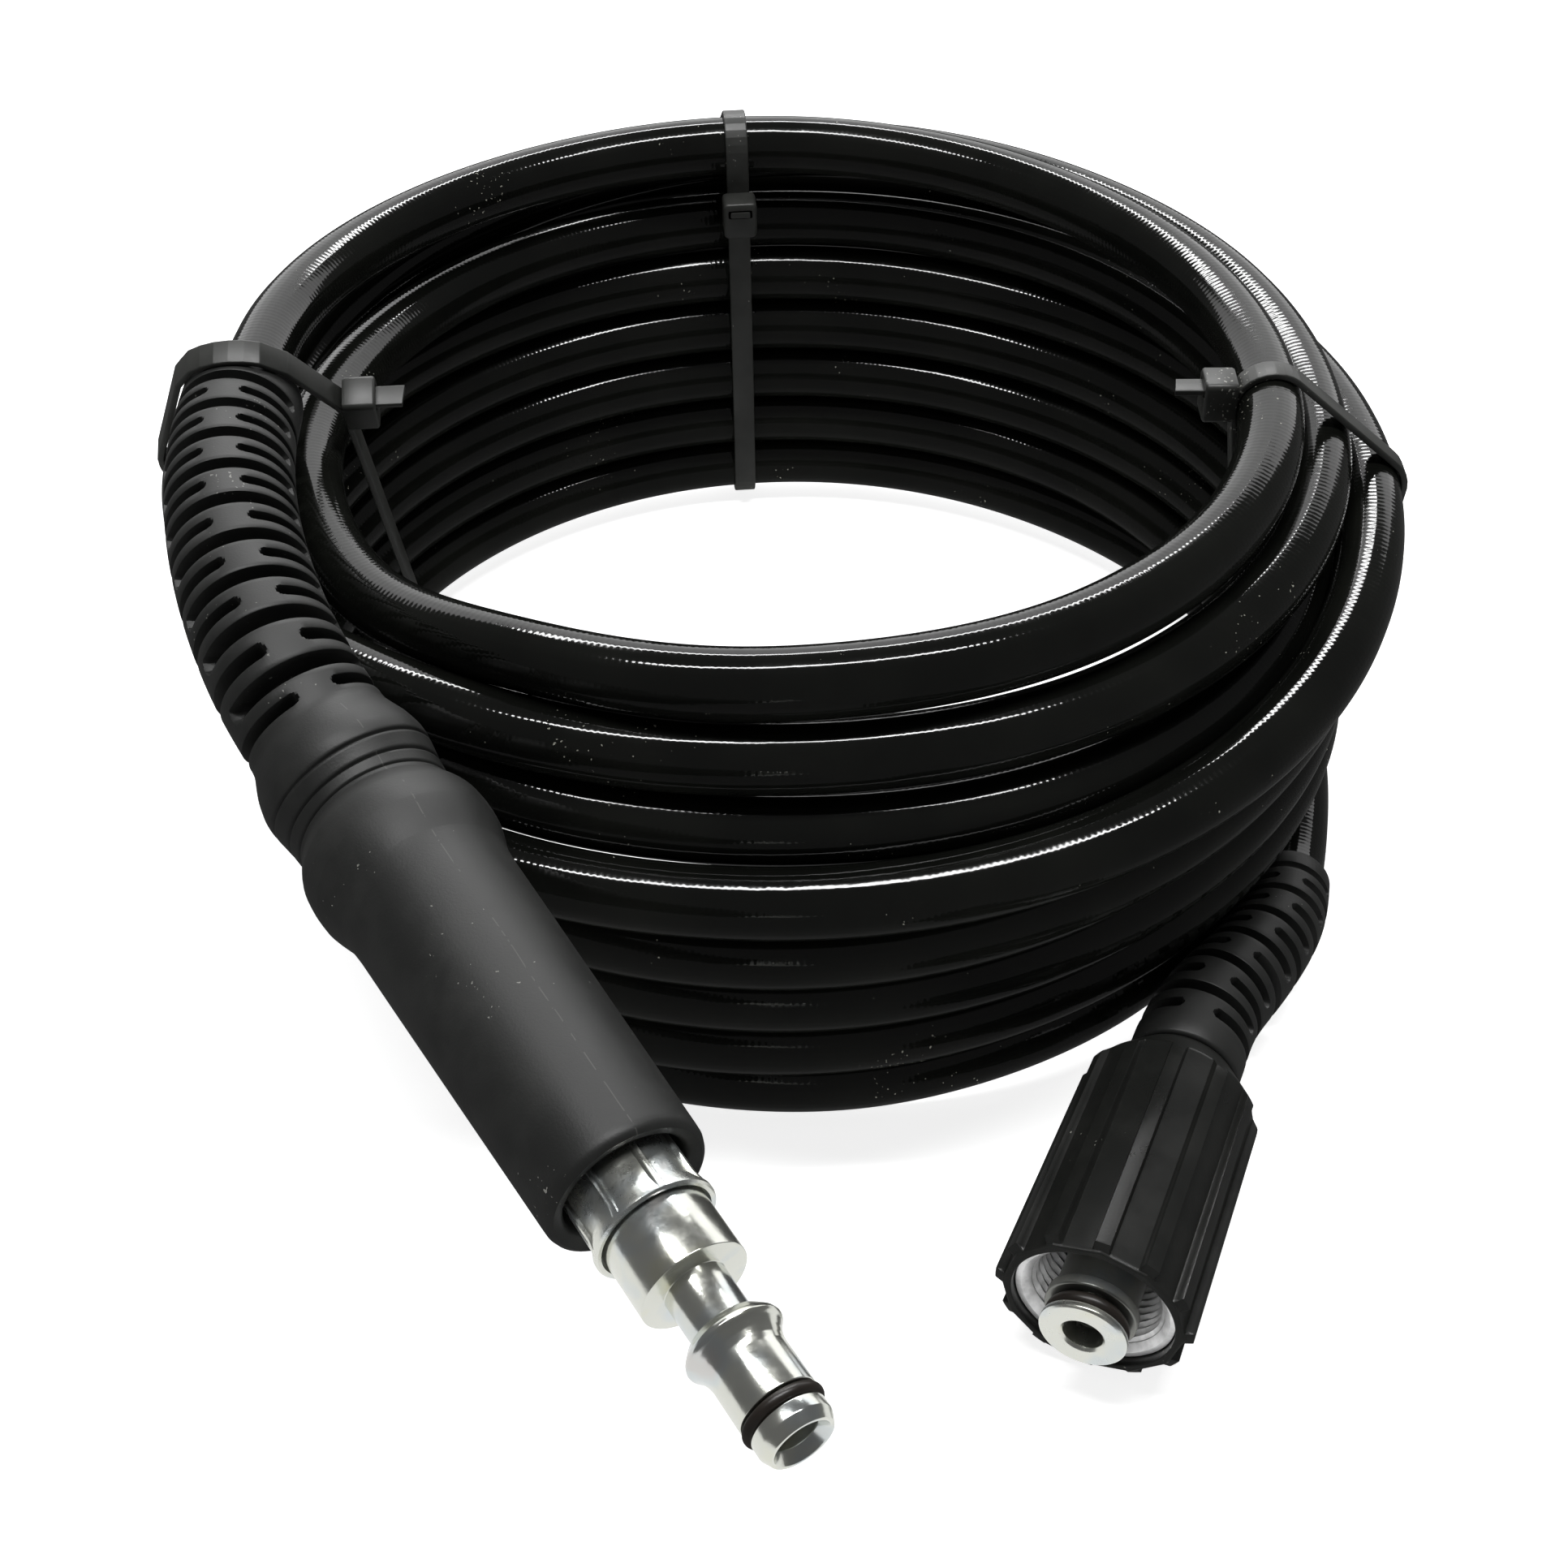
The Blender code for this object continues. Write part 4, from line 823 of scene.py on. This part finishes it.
def makeBoot():
    # a taper with slots, then a plain collar against the nut
    length, edge, rear, front = (boot[k] for k in ("length", "edge", "rearDiameter", "frontDiameter"))
    total = lengthsOf(hosePath)[-1]
    path = alongLine(hosePath, np.linspace(total - boot["gap"] - length, total - boot["gap"], 90))
    known = np.array([(0.0, rear - 2 * edge), (0.4 * edge, rear - 0.6 * edge), (edge, rear),
                      (boot["slotEnd"], front), (length - edge, front),
                      (length - 0.4 * edge, front - 0.6 * edge), (length, front - 2 * edge)])
    stations = np.unique(np.round([*slotRows(boot), *known[:, 0], *np.linspace(0.0, length, 20)], 6))
    stations = stations[(stations >= 0.0) & (stations <= length)]
    radius = 0.5 * np.interp(stations, known[:, 0], known[:, 1])
    inner = [(length * k / 20, boot["bore"]) for k in range(20, -1, -1)]
    piece = addPiece("bendProtector", [rubberSleeve(path, stations, radius, inner, boot)], bootRubber, 42.0)
    settle(piece, "hose", "rubber_matte", "bend_protector")
    return piece


bootPiece = makeBoot()
print("bend protector made")


millimetre = 0.001


def turnedPatch(profile, corner, place):
    # a profile with small round corners, turned about the local axis
    cut = np.array(rounded(profile, corner)) * millimetre
    return {"grid": turnGrid(cut, evenTurn(96), place)}


def ringPiece(name, center, height, wire, place, material):
    # a round section turned about the local axis
    turn = evenTurn(20)
    section = np.stack([center + 0.5 * wire * np.cos(turn), height + 0.5 * wire * np.sin(turn)], axis=1)
    return addPiece(name, [{"grid": turnGrid(section * millimetre, evenTurn(80), place)}], material)


# Profiles are radius and height in millimetres. The plug's heights run out from the grip's
# mouth, the coupling's out from the nut's front face. A seal is its ring's radius, its height
# and its thickness.
plug = {
    "ridges": 8,
    "ridgeTurn": 37.4,          # in degrees
    "ridgeWidth": 0.95, "ridgeHeight": 0.45, "ridgeEdge": 0.12,
    "grooveDepth": 0.16, "grooveWidth": 0.16,     # of the line along the middle of each ridge
    "facet": 0.12,
    "columns": 320,
    "shell": 8.5,
    "shellEnd": 5.9,            # the ridges end here
    "ferrule": [(8.5, 4.9), (9.2, 6.7), (9.2, 7.3), (8.9, 7.6), (8.35, 7.5), (8.2, 5.2), (6.05, 5.2),
                (6.05, -12.0), (8.5, -12.0), (8.5, -11.9)],
    "corner": 0.15,
    "steel": [(3.1, 41.6), (4.2, 43.2), (4.65, 43.2), (5.4, 41.6), (5.4, 39.75), (4.1, 39.75), (4.1, 37.6),
              (5.6, 37.6), (5.6, 30.8), (5.72, 29.9), (6.05, 28.9), (6.6, 28.0), (7.0, 27.6), (7.15, 27.2),
              (6.95, 26.6), (5.75, 25.2), (4.55, 25.2), (4.55, 17.3), (7.95, 17.3), (7.95, 5.2), (3.1, 5.2)],
    "seal": (5.0, 38.7, 1.8),
}
stem = {
    "corner": 0.12,
    "disc": [(3.25, 4.7), (3.75, 5.2), (6.75, 5.2), (7.1, 4.85), (7.1, 3.9), (4.6, 3.9), (4.6, 0.9),
             (3.25, 0.9)],
    "collar": [(3.25, 0.9), (7.3, 0.9), (7.5, 0.7), (7.5, -1.0), (6.6, -1.4), (6.6, -39.7), (6.0, -39.7),
               (6.0, -52.0), (3.25, -52.0)],
    "seal": (5.75, 2.4, 2.2),
}
thread = {
    "outside": 13.1, "front": -1.6, "flat": 12.0, "edge": 0.15,
    "first": -2.6, "back": -19.0,           # heights where the thread starts and ends
    "minor": 10.3, "depth": 0.7, "pitch": 1.5,
    "rows": 112, "columns": 96,
}


def makeFerrule():
    # the turned shell plus raised ridges, each with a line along it, between slightly flattened facets
    columns = evenTurn(plug["columns"])
    step = 2.0 * math.pi / plug["ridges"]
    turned = np.remainder(columns - math.radians(plug["ridgeTurn"]) + 0.5 * step, step) - 0.5 * step
    off = np.abs(turned) * plug["shell"]
    half, edge = 0.5 * plug["ridgeWidth"], plug["ridgeEdge"]
    relief = (1.0 - smoothStep(half - edge, half + edge, off)) * plug["ridgeHeight"]
    relief = relief - plug["grooveDepth"] * np.exp(-(off / plug["grooveWidth"])**2)
    relief = relief + plug["facet"] * (np.abs(turned) / (0.5 * step) - 0.5)
    profile = []
    for radius, height in plug["ferrule"]:
        ridged = radius == plug["shell"] and height < plug["shellEnd"]
        profile.append((millimetre * (radius + (relief if ridged else 0.0)), millimetre * height))
    piece = addPiece("crimpedFerrule", [{"grid": turnGrid(profile, columns, mouth)}], ferruleSteel, 30.0)
    settle(piece, "hose", "zinc_plated_steel", "plug_ferrule")
    return piece


ferrulePiece = makeFerrule()
plugPiece = addPiece("gunPlug", [turnedPatch(plug["steel"], plug["corner"], mouth)], plugSteel)
settle(plugPiece, "hose", "zinc_plated_steel", "gun_plug")
plugSeal = ringPiece("plugSeal", *plug["seal"], mouth, sealRubber)
settle(plugSeal, "hose", "rubber_matte", "plug_o_ring")
print("plug made")


def nutOutside(height, turn):
    # flat faces between ribs plus the ribs, all kept inside the cone of the rear shoulder
    length = nut["length"]
    forward = 1.0 + height / length
    body = nut["bodyRadius"][0] + (nut["bodyRadius"][1] - nut["bodyRadius"][0]) * forward
    top = nut["ribRadius"][0] + (nut["ribRadius"][1] - nut["ribRadius"][0]) * forward
    step = 2.0 * math.pi / nut["ribs"]
    off = np.remainder(turn + 0.5 * step, step) - 0.5 * step
    face = body * math.cos(0.35 * step) / np.cos(0.5 * step - np.abs(off))
    half, (inward, outward) = 0.5 * nut["ribWidth"], nut["ribEdge"]
    onRib = 1.0 - smoothStep(half - inward, half + outward, np.abs(off) * nut["ribRadius"][0])
    ribEnd = -nut["ribSetBack"]
    onRib = onRib * (1.0 - smoothStep(ribEnd - nut["ribRun"], ribEnd, height))
    rise = (height + length - nut["rearEdge"]) / nut["shoulder"]
    cone = nut["rearRadius"] + (nut["ribRadius"][0] + 0.0001 - nut["rearRadius"]) * rise
    return np.minimum(face + (top - face) * onRib, cone)


def makeNut():
    # the ribbed outside from the rear to the front, the rim, and the bore on the way back;
    # near holds the columns at and beside each rib's edges
    length = nut["length"]
    step = 2.0 * math.pi / nut["ribs"]
    near = np.array([0.0, 0.5, 0.95, 1.1, 1.18, 1.28, 1.36, 1.5, 1.9, 2.8]) * millimetre / nut["ribRadius"][0]
    turn = np.add.outer(np.arange(nut["ribs"]) * step, np.concatenate([-near, near, [0.5 * step]])).ravel()
    turn = np.unique(np.round(np.remainder(turn, 2.0 * math.pi), 6))
    heights = np.concatenate([np.linspace(-length + nut["rearEdge"], -length + nut["shoulder"] + 0.0008, 26),
                              np.linspace(-length + 0.010, -0.003, 14),
                              np.linspace(-0.0019, -0.0009, 7), [-0.00045]])
    outside = [(nutOutside(h, turn), h) for h in heights]
    front = nutOutside(-0.0004, turn)
    rear = nut["rearRadius"]
    rim = [(front - 0.00010, -0.00018), (front - 0.00040, 0.0), (0.01345, 0.0), (0.01328, -0.00012),
           (nut["seat"], -0.0005), (nut["seat"], -0.0010)]
    inside = [(nut["seat"], -length + nut["web"]), (nut["rearBore"], -length + nut["web"]),
              (nut["rearBore"], -length + 0.0003), (nut["rearBore"] + 0.0003, -length),
              (rear - 0.0012, -length), (rear - 0.0004, -length + 0.00015)]
    piece = addPiece("ribbedNut", [{"grid": turnGrid(outside + rim + inside, turn, nutMouth), "turn": turn}],
                     nutPlastic, 26.0)
    settle(piece, "coupling_nut", "nut_black_plastic", "coupling_nut")
    return piece


def makeThread():
    # a plain ring, then radius = minor + depth times a triangle wave of height and turn
    columns = evenTurn(thread["columns"])
    heights = np.linspace(thread["first"], thread["back"], thread["rows"])
    phase = np.remainder(heights[:, None] / thread["pitch"] + columns[None, :] / (2.0 * math.pi), 1.0)
    wave = 1.0 - np.abs(2.0 * phase - 1.0)
    begun = smoothStep(0.0, 0.6, thread["first"] - heights)[:, None]
    radii = thread["minor"] + thread["depth"] * (wave * begun + (1.0 - begun))
    outside, front, flat, edge = (thread[k] for k in ("outside", "front", "flat", "edge"))
    profile = [(outside, thread["back"]), (outside, front - edge), (outside - edge, front),
               (flat + 0.1, front), (flat - 0.05, front - 0.08), *zip(radii, heights)]
    profile = [(np.asarray(r) * millimetre, z * millimetre) for r, z in profile]
    piece = addPiece("threadInsert", [{"grid": turnGrid(profile, columns, nutMouth)}], threadMetal, 25.0)
    settle(piece, "coupling_nut", "thread_zinc", "nut_thread_insert")
    return piece


def makeStem():
    # the bright disc and core in front, the dark collar behind
    patches = [{**turnedPatch(stem[part], stem["corner"], nutMouth), "material": other}
               for part, other in (("disc", None), ("collar", collarSteel))]
    piece = addPiece("couplingStem", patches, stemSteel)
    settle(piece, "hose", "zinc_plated_steel", "coupling_stem")
    return piece


nutPiece = makeNut()
threadPiece = makeThread()
stemPiece = makeStem()
stemSeal = ringPiece("stemSeal", *stem["seal"], nutMouth, sealRubber)
settle(stemSeal, "hose", "rubber_matte", "stem_o_ring")
print("coupling made")

ties = {
    "width": 0.0048, "thick": 0.0012, "clear": 0.00015,
    "directions": 180,
    "head": (0.0060, 0.0072, 0.0081),       # radial, level and upright
    "headBevel": 0.0005,
    "passage": (0.0052, 0.0019), "passageBelowTop": 0.0024,
    "tail": (0.0042, 0.0012),
    "tailSlant": 0.14,                      # for a tail of 2 mm or more, less for a shorter one
    "sleeveEnd": (12, 0.0109),              # points and radius of the grip that the left tie holds
    # angle round the coil and lean in degrees, height that the lean starts from, head's height,
    # tail's length, and more points that the strap goes round, as radius and height
    "back": (91.5, 0.0, 0.0, 0.0762, 0.0004, []),
    "left": (180.9, 26.0, 0.1013, 0.0860, 0.0050, [(0.0805, 0.0860)]),
    "right": (-4.0, 0.0, 0.0, 0.0875, 0.0050, []),
}


def roundRect(width, height, corner, center=(0.0, 0.0), steps=5):
    # the outline of a rectangle with round corners, always from the same corner
    turn = np.radians(np.linspace(0.0, 90.0, steps))
    points = []
    for k, (sx, sy) in enumerate(((1, 1), (-1, 1), (-1, -1), (1, -1))):
        angle = turn + k * 0.5 * math.pi
        points.append(np.stack([sx * (0.5 * width - corner) + corner * np.cos(angle),
                                sy * (0.5 * height - corner) + corner * np.sin(angle)], axis=1))
    return np.vstack(points) + np.array(center)


def tieLoop(points, directions):
    # the outermost point of the bundle in each direction round it
    return points[np.argmax(directions @ points.T, axis=1)]


def tieSection(side, outward, upward, origin):
    # points of every pass that crosses the tie, in the tie's own plane
    across = np.cross(outward, upward)
    rings = hoseGrid
    if side == "left":
        count, radius = ties["sleeveEnd"]
        sleeve = tubeGrid(gripPath[:count], radius, hose["sides"])
        rings = np.vstack([hoseGrid, sleeve])
    offset = rings - origin
    near = (np.abs(offset @ across) < 0.5 * ties["width"] + 0.0003) & (offset @ outward > 0.0)
    found = offset[near]
    return np.stack([found @ outward, found @ upward], axis=1)


def innerAt(outline, up):
    # where a closed outline of (outward, upward) points comes nearest to the coil's center at a height
    closed = np.vstack([outline, outline[:1]])
    low, high = np.minimum(closed[:-1, 1], closed[1:, 1]), np.maximum(closed[:-1, 1], closed[1:, 1])
    crossing = (low <= up) & (up <= high) & (high > low)
    first, last = closed[:-1][crossing], closed[1:][crossing]
    share = (up - first[:, 1]) / (last[:, 1] - first[:, 1])
    return np.min(first[:, 0] + share * (last[:, 0] - first[:, 0]))


def headRows(slotUp):
    # the head from its back to its front and through its passage: how far in, and the rectangle there
    deep, wide, tall = ties["head"]
    bevel = ties["headBevel"]
    passage = (*ties["passage"], 0.0004, (0.0, slotUp))
    return [(0.0, (wide - bevel, tall - bevel, 0.0008)), (bevel, (wide, tall, 0.0010)),
            (deep - bevel, (wide, tall, 0.0010)),
            (deep - 0.4 * bevel, (wide - 0.5 * bevel, tall - 0.5 * bevel, 0.0010)),
            (deep, (wide - 1.6 * bevel, tall - 1.6 * bevel, 0.0010)), (deep, passage), (0.0, passage)]


def makeTie(side):
    # strap: bundle's outermost points plus clearance and thickness along each direction;
    # head and tail: rounded rectangles carried toward the coil's center
    angle, lean, start, headHeight, tailLength, more = ties[side]
    angle, lean = math.radians(angle), math.radians(lean)
    thick, clear = ties["thick"], ties["clear"]
    outward = np.array([math.cos(angle), math.sin(angle), 0.0])
    level = np.array([-math.sin(angle), math.cos(angle), 0.0])
    upward = np.array([0.0, 0.0, math.cos(lean)]) + level * math.sin(lean)
    across = np.cross(outward, upward)
    origin = coilCenter + np.array([0.0, 0.0, start])

    def inSpace(a, b, c):
        return origin + a[..., None] * outward + b[..., None] * upward + c[..., None] * across

    extra = np.array([(r, (z - start) / math.cos(lean)) for r, z in more]).reshape(-1, 2)
    points = np.vstack([tieSection(side, outward, upward, origin), extra])
    turn = evenTurn(ties["directions"])
    directions = np.stack([np.cos(turn), np.sin(turn)], axis=1)
    loop = tieLoop(points, directions)
    section = roundRect(ties["width"], thick, 0.0003, (0.0, 0.5 * thick + clear))
    flat = loop[None, :, :] + section[:, 1][:, None, None] * directions[None, :, :]
    strap = inSpace(flat[..., 0], flat[..., 1], np.broadcast_to(section[:, :1], flat.shape[:2]))
    lowest = baseHeight - clear - section[:, 1:2]      # the strap lies flat under the coil
    strap[..., 2] = np.maximum(strap[..., 2], lowest)

    up = (headHeight - start) / math.cos(lean)
    headBack = innerAt(loop + directions * (clear + thick), up) + 0.5 * thick
    deep, _, tall = ties["head"]
    slotUp = 0.5 * tall - ties["passageBelowTop"]
    head = []
    for reach, rectangle in headRows(slotUp):
        ring = roundRect(*rectangle)
        head.append(inSpace(np.full(len(ring), headBack - reach), up + ring[:, 1], ring[:, 0]))
    ring = roundRect(*ties["tail"], 0.0003, (0.0, slotUp))
    slant = ties["tailSlant"] * min(1.0, tailLength / 0.002)
    tail = [inSpace(headBack - reach - tilt * ring[:, 0], up + ring[:, 1], ring[:, 0])
            for reach, tilt in ((0.001, 0.0), (deep, 0.0), (deep + tailLength, slant))]
    patches = [{"grid": strap}, {"grid": np.array(head)}, {"grid": np.array(tail), "wrapRows": False}]
    piece = addPiece(side + "Tie", patches, tieNylon, 34.0)
    settle(piece, "hose", "tie_black_nylon", "cable_tie_" + side)
    return piece


tiePieces = [makeTie(side) for side in ("back", "left", "right")]


def makeFloor():
    # a flat pale sheet that glows softly under everything
    half = studio["floor"]
    mesh = bpy.data.meshes.new("studioFloor")
    corners = [(-half, -half, 0), (half, -half, 0), (half, half, 0), (-half, half, 0)]
    mesh.from_pydata(corners, [], [(0, 1, 2, 3)])
    material, _, _, shader = newMaterial("paleFloor", grey(studio["floorColor"]), 0.7)
    shader.inputs["Emission Color"].default_value = (*grey(1.0), 1.0)
    shader.inputs["Emission Strength"].default_value = studio["floorGlow"]
    mesh.materials.append(material)
    floor = bpy.data.objects.new("studioFloor", mesh)
    floor.location.z = studio["floorHeight"]
    floor.visible_glossy = False
    bpy.context.scene.collection.objects.link(floor)


def addSoftbox(name, *onlyOn):
    # a soft rectangular light; with pieces named, only they are lit by it
    place, target, size, power = studio[name]
    data = bpy.data.lights.new(name, "AREA")
    data.shape = "RECTANGLE"
    data.size, data.size_y = size
    data.energy = power
    light = bpy.data.objects.new(name, data)
    light.location = place
    light.visible_camera = False
    light.rotation_mode = "QUATERNION"
    light.rotation_quaternion = (Vector(target) - Vector(place)).to_track_quat("-Z", "Y")
    bpy.context.scene.collection.objects.link(light)
    if onlyOn:
        lit = bpy.data.collections.new(name + "On")
        for piece in onlyOn:
            lit.objects.link(piece)
        light.light_linking.receiver_collection = lit


def makeWorld():
    # faint even light from all sides
    world = bpy.data.worlds.new("studioWorld")
    world.use_nodes = True
    background = world.node_tree.nodes["Background"]
    background.inputs[0].default_value = (*grey(1.0), 1.0)
    background.inputs[1].default_value = studio["worldStrength"]
    bpy.context.scene.world = world


makeWorld()
makeFloor()
for lightName in ("overhead", "highBack", "backPanel"):
    addSoftbox(lightName)
# The bright metals alone are lit as the white floor would light them.
addSoftbox("floorBounce", ferrulePiece, plugPiece, stemPiece, threadPiece)
bpy.context.scene.view_settings.view_transform = "Standard"
print("studio set")
